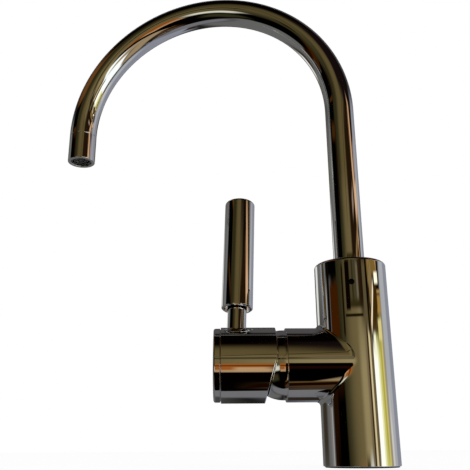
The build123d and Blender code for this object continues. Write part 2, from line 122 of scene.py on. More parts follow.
OUTLET_MIDDLE = (OUTLET_LOW + OUTLET_HIGH) / 2
SPOUT_TURN = math.atan2(OUTLET_MIDDLE.y, -OUTLET_MIDDLE.x)
ARCH_RADIUS = tidy(math.hypot(OUTLET_MIDDLE.x, OUTLET_MIDDLE.y) / 2)
ARCH_START = tidy(TUBE_HIGH.z - ARCH_RADIUS - TUBE_RADIUS)
RING_TOP = tidy(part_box("spout_bearing_ring")[1].z)
RING_FOOT = tidy(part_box("spout_bearing_ring")[0].z)
RING_RADIUS = tidy(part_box("spout_bearing_ring")[1].x)
GASKET_RADIUS = tidy(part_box("base_gasket")[1].x)
SOCKET_FLOOR = tidy(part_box("spout_spigot")[0].z)
GAUZE_LOW = tidy(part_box("aerator_gauze")[0].z)
GAUZE_TOP = tidy(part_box("aerator_gauze")[1].z)


def length(name, description, default):
    return FloatProperty(name=name, description=description, default=default, min=0.0, precision=5,
                         unit="LENGTH", subtype="DISTANCE")


def angle(name, description, degrees):
    return FloatProperty(name=name, description=description, default=math.radians(degrees), unit="ROTATION",
                         subtype="ANGLE")


def count(name, description, default):
    return IntProperty(name=name, description=description, default=default, min=3)


def factor(name, description, default):
    return FloatProperty(name=name, description=description, default=default, min=0.0, max=1.0,
                         subtype="FACTOR")


def colour(name, description, default):
    return FloatVectorProperty(name=name, description=description, default=default, size=3, min=0.0, max=1.0,
                               subtype="COLOR")


class TapSizes(bpy.types.PropertyGroup):
    """Edges, walls and small parts that the frame's boxes do not give."""

    arm_step: length("Arm step", "How much slimmer the arm is than the body, in radius", 0.0003)
    arm_blend: length("Arm blend", "Radius of the hollow blend of arm and body, above and below", 0.0025)
    arm_blend_side: length("Arm side blend", "Radius of the same blend at the front and the back", 0.0220)
    top_round: length("Top rounding", "Rounding of the body's upper rim", 0.0020)
    edge_round: length("Edge rounding", "Rounding of the crisp turned edges", 0.0002)
    foot_edge: length("Foot edge", "Width of the bevel round the body's foot", 0.0003)
    foot_lip: length("Foot lip", "How far the chrome wall reaches down round the gasket", 0.0011)
    foot_lip_wall: length("Foot lip wall", "How much narrower the recess is than the CAD gasket", 0.0004)
    ring_wall: length("Ring wall", "Width of the ledge that carries the spout's bearing ring", 0.0016)
    ring_clearance: length("Ring clearance", "Gap round the tube in its ring and round the gasket", 0.00008)
    cavity_radius: length("Cavity radius", "Radius of the hollow under the body", 0.0175)
    cavity_top: length("Cavity top", "Height of the hollow under the body", 0.0240)
    inlet_x: length("Inlet set-back", "How far the two hose sockets stand towards the arm", 0.0060)
    inlet_y: length("Inlet spread", "How far each hose socket stands to the side", 0.0085)
    inlet_radius: length("Inlet radius", "Radius of a hose socket", 0.0045)
    inlet_depth: length("Inlet depth", "Depth of a hose socket's thread", 0.0120)
    stud_x: length("Stud place", "How far the fixing stud's socket stands from the axis", 0.0090)
    stud_radius: length("Stud radius", "Radius of the fixing stud's socket", 0.0034)
    stud_depth: length("Stud depth", "Depth of the fixing stud's socket", 0.0150)
    skirt_radius: length("Skirt radius", "Radius of the neck ring's skirt in the arm", 0.0209)
    skirt_depth: length("Skirt depth", "How deep the neck ring's skirt goes into the arm", 0.0025)
    chamber_radius: length("Chamber radius", "Radius of the cartridge's nut thread in the arm", 0.0186)
    chamber_seat: length("Chamber seat", "Distance of the cartridge's seat from the body's axis", 0.0140)
    neck_wall: length("Neck wall", "Wall of the domed neck ring", 0.0014)
    neck_edge: angle("Neck edge", "Angle over the dome at which the neck ring ends", 40.0)
    housing_wall: length("Housing wall", "Wall of the lever housing", 0.0014)
    mouth_slant: angle("Mouth slant", "Slope of the lower half of the lever housing's mouth", 16.5)
    web_start: length("Web start", "Where the lever housing's hollow ends, along the arm", 0.0658)
    hub_radius: length("Hub radius", "Radius of the hub inside the lever housing", 0.0070)
    hub_length: length("Hub length", "How far the hub stands out into the hollow", 0.0070)
    cover_recess: length("Cover recess", "Depth of the end cover's seat", 0.0032)
    cover_plug: length("Cover plug", "Radius of the end cover's plug", 0.0150)
    cover_seam: length("Cover seam", "Width of the groove between housing and cover", 0.0004)
    cover_seam_depth: length("Cover seam depth", "Depth of that groove", 0.0007)
    cover_round: length("Cover rounding", "Rounding of the end cover's edge", 0.0013)
    pin_place: length("Pin place", "Distance of the lever pin from the body's axis", 0.0735)
    pin_lean: angle("Pin lean", "How far the lever pin leans back towards the spout", 2.0)
    pin_radius: length("Pin radius", "Radius of the lever pin", 0.0060)
    pin_seat: length("Pin seat", "Depth of the pin's seat in the housing", 0.0013)
    pin_fit: length("Pin fit", "Radial gap round the pin in its seat", 0.00005)
    grip_radius: length("Grip radius", "Radius of the lever grip", 0.0100)
    grip_start: length("Grip start", "Distance of the grip's lower end from the arm's axis", 0.0360)
    grip_length: length("Grip length", "Length of the lever grip", 0.0762)
    grip_recess: length("Grip recess", "Radius of the recess in the grip's lower end", 0.0084)
    grip_recess_depth: length("Recess depth", "Depth of that recess", 0.0050)
    grip_round: length("Grip rounding", "Rounding of the grip's upper edge", 0.0016)
    grip_bevel: length("Grip bevel", "Bevel of the grip's lower edge", 0.0006)
    tube_wall: length("Tube wall", "Wall of the spout tube", 0.0010)
    outlet_seam: length("Outlet seam", "Width of the groove between spout and outlet", 0.0005)
    outlet_seam_depth: length("Outlet seam depth", "Depth of that groove", 0.0006)
    outlet_lip: length("Outlet lip", "Rounding of the outlet's lower rim", 0.0005)
    outlet_wall: length("Outlet wall", "Wall of the outlet sleeve round its bore", 0.0020)
    outlet_ledge: length("Outlet ledge", "Width of the ledge that carries the gauze", 0.0005)
    wire: length("Gauze wire", "Thickness of a wire of the gauze", 0.00020)
    screw_radius: length("Grub screw radius", "Radius of the grub screw that keeps the spout", 0.0018)
    screw_drop: length("Grub screw drop", "How far the grub screw sits under the body's top", 0.0160)
    screw_sink: length("Grub screw sink", "How deep the grub screw sits under the surface", 0.0022)
    screw_bevel: length("Grub screw bevel", "Width of the sloped rim of the grub screw's end", 0.0006)
    screw_hex: length("Grub screw key", "Width across flats of the grub screw's socket", 0.0020)
    screw_azimuth: angle("Grub screw azimuth", "Direction of the grub screw round the body", -99.25)
    round_steps: count("Steps round", "Points round a large turned piece", 160)
    wires: count("Gauze wires", "Wires each way across the outlet", 21)


class TapFinish(bpy.types.PropertyGroup):
    """Colours of the finishes and how finely they are worked; the grub screw and the gauze are painted near
    black as shade.
    """

    chrome: colour("Chrome", "Colour of the polished plating", (0.86, 0.86, 0.87))
    chrome_roughness: factor("Chrome roughness", "Roughness of the polished plating", 0.008)
    steel: colour("Steel", "Colour of the bare steel screws", (0.30, 0.29, 0.28))
    # Near black: a painted shade that stands in for the dark of the grub screw sunk in its hole
    black_steel: colour("Screw steel in painted shade", "Colour of the grub screw", (0.020, 0.019, 0.018))
    brass: colour("Brass", "Colour of the turned brass inside", (0.68, 0.48, 0.22))
    rubber: colour("Rubber", "Colour of the gasket and seals", (0.020, 0.020, 0.022))
    white_plastic: colour("White plastic", "Colour of the bearing ring and insert", (0.72, 0.72, 0.70))
    grey_plastic: colour("Grey plastic", "Colour of the cartridge", (0.28, 0.29, 0.30))
    ceramic: colour("Ceramic", "Colour of the cartridge's discs", (0.78, 0.76, 0.72))
    # Near black: a painted shade that makes the outlet's mouth dark behind the wires
    gauze: colour("Gauze", "Colour of the outlet's wires", (0.012, 0.012, 0.012))


class TapStudio(bpy.types.PropertyGroup):
    """Camera, floor and light."""

    camera_place: FloatVectorProperty(name="Camera place", description="Where the camera stands", size=3,
                                      default=(-0.07754, -0.39476, 0.01049), unit="LENGTH",
                                      subtype="TRANSLATION")
    camera_yaw: angle("Camera yaw", "Turn of the camera from straight ahead, to the left", -0.609)
    camera_pitch: angle("Camera pitch", "How far the camera looks up", 18.554)
    camera_roll: angle("Camera roll", "Roll of the camera", -0.351)
    lens: FloatProperty(name="Lens", description="Focal length in millimetres, on a 36 mm wide sensor",
                        default=48.88)
    floor_size: length("Floor size", "Side of the square floor", 6.0)
    floor: colour("Floor", "Colour of the pale floor", (0.90, 0.90, 0.90))
    floor_white: factor("Floor white", "How much the camera sees the floor as plain white", 0.93)
    ambient: FloatProperty(name="Ambient light", description="Strength of the even light all round",
                           default=0.75)
    lamp: FloatProperty(name="Lamp", description="Power of the soft lamp", default=6.0, unit="POWER")
    lamp_size: length("Lamp size", "Side of the soft lamp", 1.2)


def sizes():
    return bpy.context.scene.tap_sizes


def finish():
    return bpy.context.scene.tap_finish


# Places


class Place:
    """Where a turned piece stands: its angle runs from side to cross, its height along way."""

    def __init__(self, origin, side, cross, way):
        self.origin = np.array(origin, float)
        self.side = np.array(side, float)
        self.cross = np.array(cross, float)
        self.way = np.array(way, float)

    def at(self, side, cross, way):
        """The world point of local coordinates, which may be arrays."""
        return (self.origin + np.multiply.outer(side, self.side) + np.multiply.outer(cross, self.cross)
                + np.multiply.outer(way, self.way))

    def direction(self, side, cross, way):
        """The world direction of a local one."""
        return self.at(side, cross, way) - self.origin


def upright(x=0.0, y=0.0):
    """Round an upright axis, with the height from the deck."""
    return Place((x, y, 0), (1, 0, 0), (0, 1, 0), (0, 0, 1))


def body_place():
    """Round the body's axis, with the angle from the arm's side."""
    return Place((0, 0, 0), (-1, 0, 0), (0, 1, 0), (0, 0, 1))


def arm_place():
    """Round the arm's axis, with the angle from the top and the height outwards along the arm."""
    return Place((0, 0, ARM_HEIGHT), (0, 0, 1), (0, 1, 0), (-1, 0, 0))


def lever_place():
    """The arm's place turned with the lever."""
    across = (0, math.cos(LEVER_TURN), -math.sin(LEVER_TURN))
    return Place((0, 0, ARM_HEIGHT), (0, math.sin(LEVER_TURN), math.cos(LEVER_TURN)), across, (-1, 0, 0))


def pin_place():
    """Along the lever pin, from the arm's axis upwards."""
    s = sizes()
    lever = lever_place()
    up = lever.direction(math.cos(s.pin_lean), 0, -math.sin(s.pin_lean))
    out = lever.direction(math.sin(s.pin_lean), 0, math.cos(s.pin_lean))
    return Place(lever.at(0, 0, s.pin_place), out, lever.cross, up)


def screw_place():
    """Along the grub screw, from the body's axis outwards."""
    s = sizes()
    out = (math.cos(s.screw_azimuth), math.sin(s.screw_azimuth), 0)
    side = (-out[1], out[0], 0)
    return Place((0, 0, BODY_TOP - s.screw_drop), side, (0, 0, 1), out)


# Profiles: points (radius, height) with outward normals, walked with the outside on the right


def unit(vector):
    return vector / np.linalg.norm(vector)


def right_of(way):
    """The direction to the right of the way along a profile."""
    return np.array((way[1], -way[0]))


def outline(*corners, closed=True, longest=None):
    """Points and normals along corners (radius, height, rounding); an open one ends square.

    A corner without a rounding gets the panel's edge rounding. With longest, a long run is divided.
    """
    places = [np.array(c[:2], float) for c in corners]
    points, normals = [], []
    last = len(corners) - 1
    for i, corner in enumerate(corners):
        here = places[i]
        if not closed and i in (0, last):
            way = unit(places[1] - here if i == 0 else here - places[i - 1])
            points.append(here)
            normals.append(right_of(way))
            continue
        come = unit(here - places[i - 1])
        go = unit(places[(i + 1) % len(corners)] - here)
        turn = math.atan2(come[0] * go[1] - come[1] * go[0], come @ go)
        side = math.copysign(1.0, turn)
        rounding = corner[2] if len(corner) > 2 else sizes().edge_round
        start = here - come * rounding * math.tan(abs(turn) / 2)
        centre = start - side * rounding * right_of(come)
        steps = max(1, math.ceil(abs(turn) / ARC_STEP))
        for w in np.linspace(0, turn, steps + 1):
            c, s = math.cos(w), math.sin(w)
            out = right_of(come)
            normal = np.array((c * out[0] - s * out[1], s * out[0] + c * out[1]))
            points.append(centre + side * rounding * normal)
            normals.append(normal)
    if closed:
        points.append(points[0])
        normals.append(normals[0])
    points, normals = np.array(points), np.array(normals)
    if longest:
        points, normals = divided(points, normals, longest)
    return points, normals


def divided(points, normals, longest):
    """The same profile with more points on its long runs."""
    new_points, new_normals = [points[0]], [normals[0]]
    for a, b, m, n in zip(points, points[1:], normals, normals[1:]):
        steps = max(1, math.ceil(np.linalg.norm(b - a) / longest))
        for t in np.arange(1, steps + 1) / steps:
            new_points.append(a + (b - a) * t)
            new_normals.append(m + (n - m) * t)
    return np.array(new_points), np.array(new_normals)


def arc(radius, height, size, start, end, inside=False):
    """A round stretch of profile about (radius, height), with its normals outwards or inwards."""
    steps = max(2, math.ceil(abs(end - start) / DOME_STEP))
    turns = np.linspace(start, end, steps + 1)
    ways = np.stack((np.cos(turns), np.sin(turns)), -1)
    return np.array((radius, height)) + ways * size, -ways if inside else ways


class Skin:
    """Grids of points with outward normals, joined into one closed mesh."""

    def __init__(self):
        self.points, self.normals, self.quads, self.total = [], [], [], 0

    def grid(self, points, normals):
        """Adds rows and columns of points; the faces are turned to look along their normals."""
        rows, columns = points.shape[:2]
        points, normals = points.reshape(-1, 3), normals.reshape(-1, 3)
        index = np.arange(rows * columns).reshape(rows, columns)
        around = index[:-1, :-1], index[:-1, 1:], index[1:, 1:], index[1:, :-1]
        quads = np.stack(around, -1).reshape(-1, 4)
        a, b, c, d = (points[quads[:, k]] for k in range(4))
        facing = np.einsum("ij,ij->i", np.cross(c - a, d - b), normals[quads].sum(1))
        quads[facing < 0] = quads[facing < 0][:, ::-1]
        self.points.append(points)
        self.normals.append(normals)
        self.quads.append(quads + self.total)
        self.total += len(points)

    def turned(self, profile, place, turns):
        """Adds a profile turned about a place's axis, at the given angles."""
        points, normals = profile
        c, s = np.cos(turns), np.sin(turns)
        one = np.ones_like(turns)
        radius, height = points[:, :1], points[:, 1:]
        self.grid(place.at(radius * c, radius * s, height * one),
                  place.direction(normals[:, :1] * c, normals[:, :1] * s, normals[:, 1:] * one))

    def mesh(self, name, hollow=False):
        """The joined mesh, with its normals kept in an attribute; hollow turns them for a cutter."""
        points, normals = np.concatenate(self.points), np.concatenate(self.normals)
        quads = np.concatenate(self.quads)
        mesh = bpy.data.meshes.new(name)
        mesh.from_pydata(points.tolist(), [], quads.tolist())
        ways = normals[quads.ravel()] * (-1.0 if hollow else 1.0)
        mesh.attributes.new("way", "FLOAT_VECTOR", "CORNER").data.foreach_set("vector", ways.ravel())
        work = bmesh.new()
        work.from_mesh(mesh)
        bmesh.ops.remove_doubles(work, verts=work.verts, dist=JOIN_DISTANCE)
        work.to_mesh(mesh)
        work.free()
        return mesh


def full_turn(steps):
    """The angles of a whole turn, with the last point on the first."""
    return np.linspace(0, 2 * math.pi, steps + 1)


def turned_mesh(name, profiles, place, steps=None, hollow=False):
    """The mesh of profiles turned all the way round a place's axis."""
    skin = Skin()
    for profile in profiles:
        skin.turned(profile, place, full_turn(steps or sizes().round_steps))
    return skin.mesh(name, hollow)


def new_object(name, data):
    """An object that shows the given data, linked to the scene."""
    obj = bpy.data.objects.new(name, data)
    bpy.context.scene.collection.objects.link(obj)
    return obj


def evaluated(obj):
    """The mesh of an object with its modifiers, as plain data."""
    graph = bpy.context.evaluated_depsgraph_get()
    return bpy.data.meshes.new_from_object(obj.evaluated_get(graph), depsgraph=graph)


def carved(mesh, *cutters):
    """The mesh with the cutters taken out of it."""
    host = new_object(mesh.name, mesh)
    tools = [new_object(cutter.name, cutter) for cutter in cutters]
    for tool in tools:
        cut = host.modifiers.new(tool.name, "BOOLEAN")
        cut.operation = "DIFFERENCE"
        cut.solver = "EXACT"
        cut.object = tool
    result = evaluated(host)
    for obj in (host, *tools):
        bpy.data.objects.remove(obj)
    return result


def polish(mesh):
    """Smooth faces that shade by the normals kept in the attribute."""
    ways = np.empty(len(mesh.loops) * 3)
    mesh.attributes["way"].data.foreach_get("vector", ways)
    mesh.attributes.remove(mesh.attributes["way"])
    ways = ways.reshape(-1, 3)
    ways /= np.maximum(np.linalg.norm(ways, axis=1, keepdims=True), 1e-9)
    mesh.polygons.foreach_set("use_smooth", np.ones(len(mesh.polygons), bool))
    mesh.normals_split_custom_set(ways.tolist())


def add_piece(name, mesh, body, slot, material, *nodes):
    """Puts a finished mesh in the scene, on its body, in place of its CAD nodes."""
    if not len(mesh.polygons):
        raise RuntimeError(f"{name} came out empty")
    if "way" in mesh.attributes:
        polish(mesh)
    mesh.name = name
    mesh.materials.clear()
    mesh.materials.append(material)
    obj = new_object(name, mesh)
    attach(obj, body)
    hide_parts(*nodes)


# Finishes. A material that is there already is taken by its name, so none has a name that the frame uses

# Noise between these two values goes from nothing to a full cloud, scratch or patch
CLOUD_RANGE = (0.35, 0.70)
SCRATCH_RANGE = (0.60, 0.75)
PATCH_RANGE = (0.30, 0.70)
# How deep scratches are beside clouds, and the tone of a metal in its clouds
SCRATCH_DEPTH = 0.1
CLOUD_TONE = 0.94
# How much rougher a grained finish is in its patches, and the strength of its grain
PATCH_ROUGHNESS = 0.08
GRAIN_STRENGTH = 0.3


def new_group(name, inputs, outputs):
    """An empty shader node group; inputs are (name, type, default) and outputs (name, type)."""
    group = bpy.data.node_groups.new(name, "ShaderNodeTree")
    for title, kind, default in inputs:
        socket = group.interface.new_socket(title, in_out="INPUT", socket_type=kind)
        if default is not None:
            socket.default_value = default
    for title, kind in outputs:
        group.interface.new_socket(title, in_out="OUTPUT", socket_type=kind)
    return group, group.nodes.new("NodeGroupInput"), group.nodes.new("NodeGroupOutput")


class Wiring:
    """Short ways to add and join nodes in one tree."""

    def __init__(self, tree):
        self.tree = tree

    def node(self, kind, **settings):
        node = self.tree.nodes.new(kind)
        for key, value in settings.items():
            setattr(node, key, value)
        return node

    def feed(self, socket, value):
        if isinstance(value, bpy.types.NodeSocket):
            self.tree.links.new(value, socket)
        else:
            socket.default_value = value

    def math(self, operation, *values):
        node = self.node("ShaderNodeMath", operation=operation)
        for socket, value in zip(node.inputs, values):
            self.feed(socket, value)
        return node.outputs[0]

    def noise(self, place, scale, detail, roughness):
        node = self.node("ShaderNodeTexNoise")
        self.feed(node.inputs["Vector"], place)
        for name, value in (("Scale", scale), ("Detail", detail), ("Roughness", roughness)):
            self.feed(node.inputs[name], value)
        return node.outputs[0]

    def remap(self, value, low, high, new_low, new_high):
        node = self.node("ShaderNodeMapRange", interpolation_type="SMOOTHSTEP")
        for socket, given in zip(node.inputs, (value, low, high, new_low, new_high)):
            self.feed(socket, given)
        return node.outputs[0]

    def mix(self, amount, first, second):
        """Mixes two colours; the node's sockets for colours are inputs 6 and 7 and output 2."""
        node = self.node("ShaderNodeMix", data_type="RGBA")
        self.feed(node.inputs[0], amount)
        self.feed(node.inputs[6], first)
        self.feed(node.inputs[7], second)
        return node.outputs[2]

    def mix_shaders(self, amount, first, second):
        node = self.node("ShaderNodeMixShader")
        for socket, value in zip(node.inputs, (amount, first, second)):
            self.feed(socket, value)
        return node.outputs[0]

    def background(self, colour_value, strength):
        node = self.node("ShaderNodeBackground")
        self.feed(node.inputs["Color"], colour_value)
        self.feed(node.inputs["Strength"], strength)
        return node.outputs[0]

    def group(self, tree, **values):
        """A node of a group; an input's name has its spaces written as underscores."""
        node = self.node("ShaderNodeGroup", node_tree=tree)
        for name, value in values.items():
            self.feed(node.inputs[name.replace("_", " ")], value)
        return node


def rgba(values):
    return (*values, 1.0)


def wear_group():
    """Faint marks of handling: broad clouds and fine scratches, as a mask and a height."""
    known = bpy.data.node_groups.get("handling_marks")
    if known:
        return known
    inputs = [("Cloud Scale", "NodeSocketFloat", 60.0), ("Scratch Scale", "NodeSocketFloat", 900.0),
              ("Stretch", "NodeSocketVector", (1.0, 1.0, 0.08))]
    outputs = [("Cloud", "NodeSocketFloat"), ("Scratch", "NodeSocketFloat"), ("Height", "NodeSocketFloat")]
    tree, given, out = new_group("handling_marks", inputs, outputs)
    w = Wiring(tree)
    place = w.node("ShaderNodeTexCoord").outputs["Object"]
    cloud = w.noise(place, given.outputs["Cloud Scale"], detail=4.0, roughness=0.6)
    along = w.node("ShaderNodeVectorMath", operation="MULTIPLY")
    w.feed(along.inputs[0], place)
    w.feed(along.inputs[1], given.outputs["Stretch"])
    scratch = w.noise(along.outputs[0], given.outputs["Scratch Scale"], detail=2.0, roughness=0.4)
    w.feed(out.inputs["Cloud"], w.remap(cloud, *CLOUD_RANGE, 0.0, 1.0))
    w.feed(out.inputs["Scratch"], w.remap(scratch, *SCRATCH_RANGE, 0.0, 1.0))
    w.feed(out.inputs["Height"], w.math("MULTIPLY_ADD", scratch, SCRATCH_DEPTH, cloud))
    return tree


def grain_group():
    """Fine grain of moulded, pressed or fired pieces: a colour shift and a height."""
    known = bpy.data.node_groups.get("fine_grain")
    if known:
        return known
    inputs = [("Grain Scale", "NodeSocketFloat", 2500.0), ("Patch Scale", "NodeSocketFloat", 150.0)]
    outputs = [("Shade", "NodeSocketFloat"), ("Height", "NodeSocketFloat")]
    tree, given, out = new_group("fine_grain", inputs, outputs)
    w = Wiring(tree)
    place = w.node("ShaderNodeTexCoord").outputs["Object"]
    grain = w.noise(place, given.outputs["Grain Scale"], detail=3.0, roughness=0.6)
    patch = w.noise(place, given.outputs["Patch Scale"], detail=4.0, roughness=0.6)
    w.feed(out.inputs["Shade"], w.remap(patch, *PATCH_RANGE, 0.0, 1.0))
    w.feed(out.inputs["Height"], grain)
    return tree


def new_material(name, metallic, roughness):
    """A material with a Principled shader; gives the wiring and the shader too."""
    material = bpy.data.materials.new(name)
    material.use_nodes = True
    material.node_tree.nodes.clear()
    w = Wiring(material.node_tree)
    shader = w.node("ShaderNodeBsdfPrincipled")
    out = w.node("ShaderNodeOutputMaterial")
    material.node_tree.links.new(shader.outputs[0], out.inputs[0])
    shader.inputs["Metallic"].default_value = metallic
    shader.inputs["Roughness"].default_value = roughness
    return material, w, shader


def bump(w, shader, height, strength, distance):
    """Feeds a height to the shader's normal."""
    node = w.node("ShaderNodeBump")
    w.feed(node.inputs["Height"], height)
    w.feed(node.inputs["Strength"], strength)
    w.feed(node.inputs["Distance"], distance)
    w.feed(shader.inputs["Normal"], node.outputs[0])


def metal(name, base, roughness, haze, clouds, scratches, depth):
    """A metal whose roughness, tone and surface wander a little; haze is how much rougher it gets."""
    known = bpy.data.materials.get(name)
    if known:
        return known
    material, w, shader = new_material(name, 1.0, roughness)
    marks = w.group(wear_group(), Cloud_Scale=clouds, Scratch_Scale=scratches).outputs
    tone = w.mix(marks["Cloud"], rgba(base), rgba([CLOUD_TONE * v for v in base]))
    w.feed(shader.inputs["Base Color"], tone)
    rough = w.math("MULTIPLY_ADD", marks["Cloud"], haze, roughness)
    rough = w.math("MULTIPLY_ADD", marks["Scratch"], haze, rough)
    w.feed(shader.inputs["Roughness"], rough)
    bump(w, shader, marks["Height"], 1.0, depth)
    return material


def grained(name, base, roughness, grain, patches, depth, shift):
    """A plastic, rubber or ceramic with a fine grain; shift is how much darker its patches are."""
    known = bpy.data.materials.get(name)
    if known:
        return known
    material, w, shader = new_material(name, 0.0, roughness)
    marks = w.group(grain_group(), Grain_Scale=grain, Patch_Scale=patches).outputs
    tone = w.mix(marks["Shade"], rgba(base), rgba([v * (1.0 - shift) for v in base]))
    w.feed(shader.inputs["Base Color"], tone)
    w.feed(shader.inputs["Roughness"], w.math("MULTIPLY_ADD", marks["Shade"], PATCH_ROUGHNESS, roughness))
    bump(w, shader, marks["Height"], GRAIN_STRENGTH, depth)
    return material


def chrome():
    return metal("polished_chrome", finish().chrome, finish().chrome_roughness, haze=0.006, clouds=35.0,
                 scratches=1400.0, depth=5e-7)


def steel():
    return metal("turned_steel", finish().steel, roughness=0.22, haze=0.10, clouds=300.0,
                 scratches=3000.0, depth=5e-6)


# The grub screw's steel, painted near black as the shade inside its hole
def black_steel():
    return metal("blackened_steel", finish().black_steel, roughness=0.30, haze=0.10, clouds=300.0,
                 scratches=3000.0, depth=5e-6)


def brass():
    return metal("machined_brass", finish().brass, roughness=0.24, haze=0.12, clouds=200.0,
                 scratches=2500.0, depth=8e-6)


# The gauze's wires, painted near black as the shade inside the outlet's bore
def gauze_painted_shade():
    return metal("wire_gauze", finish().gauze, roughness=0.50, haze=0.10, clouds=600.0,
                 scratches=4000.0, depth=3e-6)


def rubber():
    return grained("moulded_rubber", finish().rubber, roughness=0.62, grain=2200.0, patches=120.0,
                   depth=3e-5, shift=0.35)


def white_plastic():
    return grained("white_acetal", finish().white_plastic, roughness=0.42, grain=3000.0, patches=90.0,
                   depth=6e-6, shift=0.06)


def grey_plastic():
    return grained("grey_acetal", finish().grey_plastic, roughness=0.45, grain=2600.0, patches=110.0,
                   depth=1e-5, shift=0.10)


def ceramic():
    return grained("fired_ceramic", finish().ceramic, roughness=0.16, grain=5000.0, patches=60.0,
                   depth=2e-6, shift=0.04)


# Pieces


def blend_ball(over):
    """Radius of the blend at angles round the arm: it widens from the top and bottom to the sides."""
    s = sizes()
    return s.arm_blend + (s.arm_blend_side - s.arm_blend) * np.sin(over) ** BLEND_POWER


def body_walls(skin):
    """The upright wall with the arm's opening, the hollow blend and the arm's wall.

    The blend is the hollow that a ball leaves as it rolls round the arm and touches both walls. Gives
    the angles of the points round the body and round the arm.
    """
    s = sizes()
    place = body_place()
    arm = arm_place()
    arm_radius = BODY_RADIUS - s.arm_step
    # Upright wall: on the arm's side its columns start at the blend, elsewhere level with the arm's axis
    over = np.linspace(-math.pi / 2, math.pi / 2, s.round_steps + 1)
    ball = blend_ball(over)
    reach = arm_radius + ball
    columns = np.arcsin(reach / (BODY_RADIUS + ball) * np.sin(over))
    rest = np.linspace(columns[-1], 2 * math.pi + columns[0], s.round_steps)
    columns = np.concatenate((columns, rest[1:]))
    height = np.zeros_like(columns)
    height[:len(over)] = reach * np.cos(over)
    share = np.linspace(0, 1, WALL_ROWS)[:, None]
    ends = {1: BODY_TOP - s.top_round, -1: BODY_FOOT - s.foot_lip + s.foot_edge * 2}
    for side, end in ends.items():
        near = ARM_HEIGHT + side * height
        levels = near + (end - near) * share
        c, n = np.cos(columns) + 0 * share, np.sin(columns) + 0 * share
        skin.grid(place.at(BODY_RADIUS * c, BODY_RADIUS * n, levels), place.direction(c, n, 0 * c))
    # Blend, all round the arm: from the ball's touch on the body to its touch on the arm
    around = np.concatenate((over, over[1:] + math.pi))
    ball = blend_ball(around)
    reach = arm_radius + ball
    y, z = reach * np.sin(around), reach * np.cos(around)
    x = np.sqrt((BODY_RADIUS + ball) ** 2 - y ** 2)
    centre = np.stack((-x, y, z), -1)
    to_body = np.stack((x, -y, 0 * x), -1) / (BODY_RADIUS + ball)[:, None]
    to_arm = np.stack((0 * x, -y, -z), -1) / reach[:, None]
    bend = np.arccos(np.clip((to_body * to_arm).sum(-1), -1, 1))[:, None]
    share = np.linspace(0, 1, BLEND_ROWS)[:, None, None]
    ways = (np.sin((1 - share) * bend) * to_body + np.sin(share * bend) * to_arm) / np.sin(bend)
    skin.grid(centre + ball[:, None] * ways + ARM_HEIGHT * UP, -ways)
    # Arm's wall, from the blend to the end's rounding
    end = ARM_FACE - s.edge_round
    along = x + (end - x) * np.linspace(0, 1, ARM_ROWS)[:, None]
    c, n = np.cos(around) + 0 * along, np.sin(around) + 0 * along
    skin.grid(arm.at(arm_radius * c, arm_radius * n, along), arm.direction(c, n, 0 * c))
    return columns, around


def body_mesh():
    """The body and arm in one skin, with the spout's socket, the foot's hollow and the arm's chamber."""
    s = sizes()
    skin = Skin()
    columns, around = body_walls(skin)
    socket = RING_RADIUS - s.ring_wall
    top = outline(
        (BODY_RADIUS, BODY_TOP - s.top_round), (BODY_RADIUS, BODY_TOP, s.top_round),
        (RING_RADIUS, BODY_TOP), (RING_RADIUS, RING_FOOT), (socket, RING_FOOT), (socket, SOCKET_FLOOR),
        (0, SOCKET_FLOOR), closed=False)
    skin.turned(top, body_place(), columns)
    edge = s.foot_edge
    low = BODY_FOOT - s.foot_lip
    seat = GASKET_RADIUS - s.foot_lip_wall
    foot = outline(
        (0, s.cavity_top), (s.cavity_radius, s.cavity_top), (s.cavity_radius, BODY_FOOT), (seat, BODY_FOOT),
        (seat, low), (BODY_RADIUS - edge, low), (BODY_RADIUS, low + edge), (BODY_RADIUS, low + edge * 2),
        closed=False)
    skin.turned(foot, body_place(), columns)
    arm_radius = BODY_RADIUS - s.arm_step
    skirt = ARM_FACE - s.skirt_depth
    points, normals = outline(
        (0, s.chamber_seat), (s.chamber_radius, s.chamber_seat), (s.chamber_radius, skirt),
        (s.skirt_radius, skirt), (s.skirt_radius, ARM_FACE), (arm_radius, ARM_FACE),
        (arm_radius, ARM_FACE - s.edge_round), closed=False)
    # This profile is walked with the outside on its left
    skin.turned((points, -normals), arm_place(), around)
    return skin.mesh("tap_body")


def rod(name, place, radius, low, high, steps=HOLE_STEPS):
    """A plain cutter for a round hole."""
    profile = outline((0, low), (radius, low), (radius, high), (0, high), closed=False)
    return turned_mesh(name, [profile], place, steps, hollow=True)


class TAP_OT_body(bpy.types.Operator):
    """Makes the body with its arm, the blend between them and the sockets under its foot"""

    bl_idname = "tap.body"
    bl_label = "Body and arm"

    def execute(self, context):
        s = sizes()
        past_wall = BODY_RADIUS * 2
        cutters = [rod("screw_hole", screw_place(), s.screw_radius, RING_RADIUS, past_wall)]
        in_hollow = s.cavity_top / 2
        for side in (-1, 1):
            socket = upright(-s.inlet_x, side * s.inlet_y)
            roof = s.cavity_top + s.inlet_depth
            cutters.append(rod("inlet", socket, s.inlet_radius, in_hollow, roof))
        stud_roof = s.cavity_top + s.stud_depth
        cutters.append(rod("stud", upright(s.stud_x), s.stud_radius, in_hollow, stud_roof))
        mesh = carved(body_mesh(), *cutters)
        add_piece("chrome_body", mesh, "root", "chrome", chrome(), "tap_body")
        return {"FINISHED"}


class TAP_OT_base(bpy.types.Operator):
    """Makes the rubber gasket in the body's foot"""

    bl_idname = "tap.base"
    bl_label = "Base gasket"

    def execute(self, context):
        s = sizes()
        bead = s.edge_round * 2
        outer = GASKET_RADIUS - s.foot_lip_wall - s.ring_clearance
        profile = outline((s.cavity_radius, BODY_FOOT, bead), (s.cavity_radius, 0, bead), (outer, 0, bead),
                          (outer, BODY_FOOT, bead))
        mesh = turned_mesh("gasket", [profile], upright())
        add_piece("rubber_gasket", mesh, "root", "black_rubber", rubber(), "base_gasket")
        return {"FINISHED"}


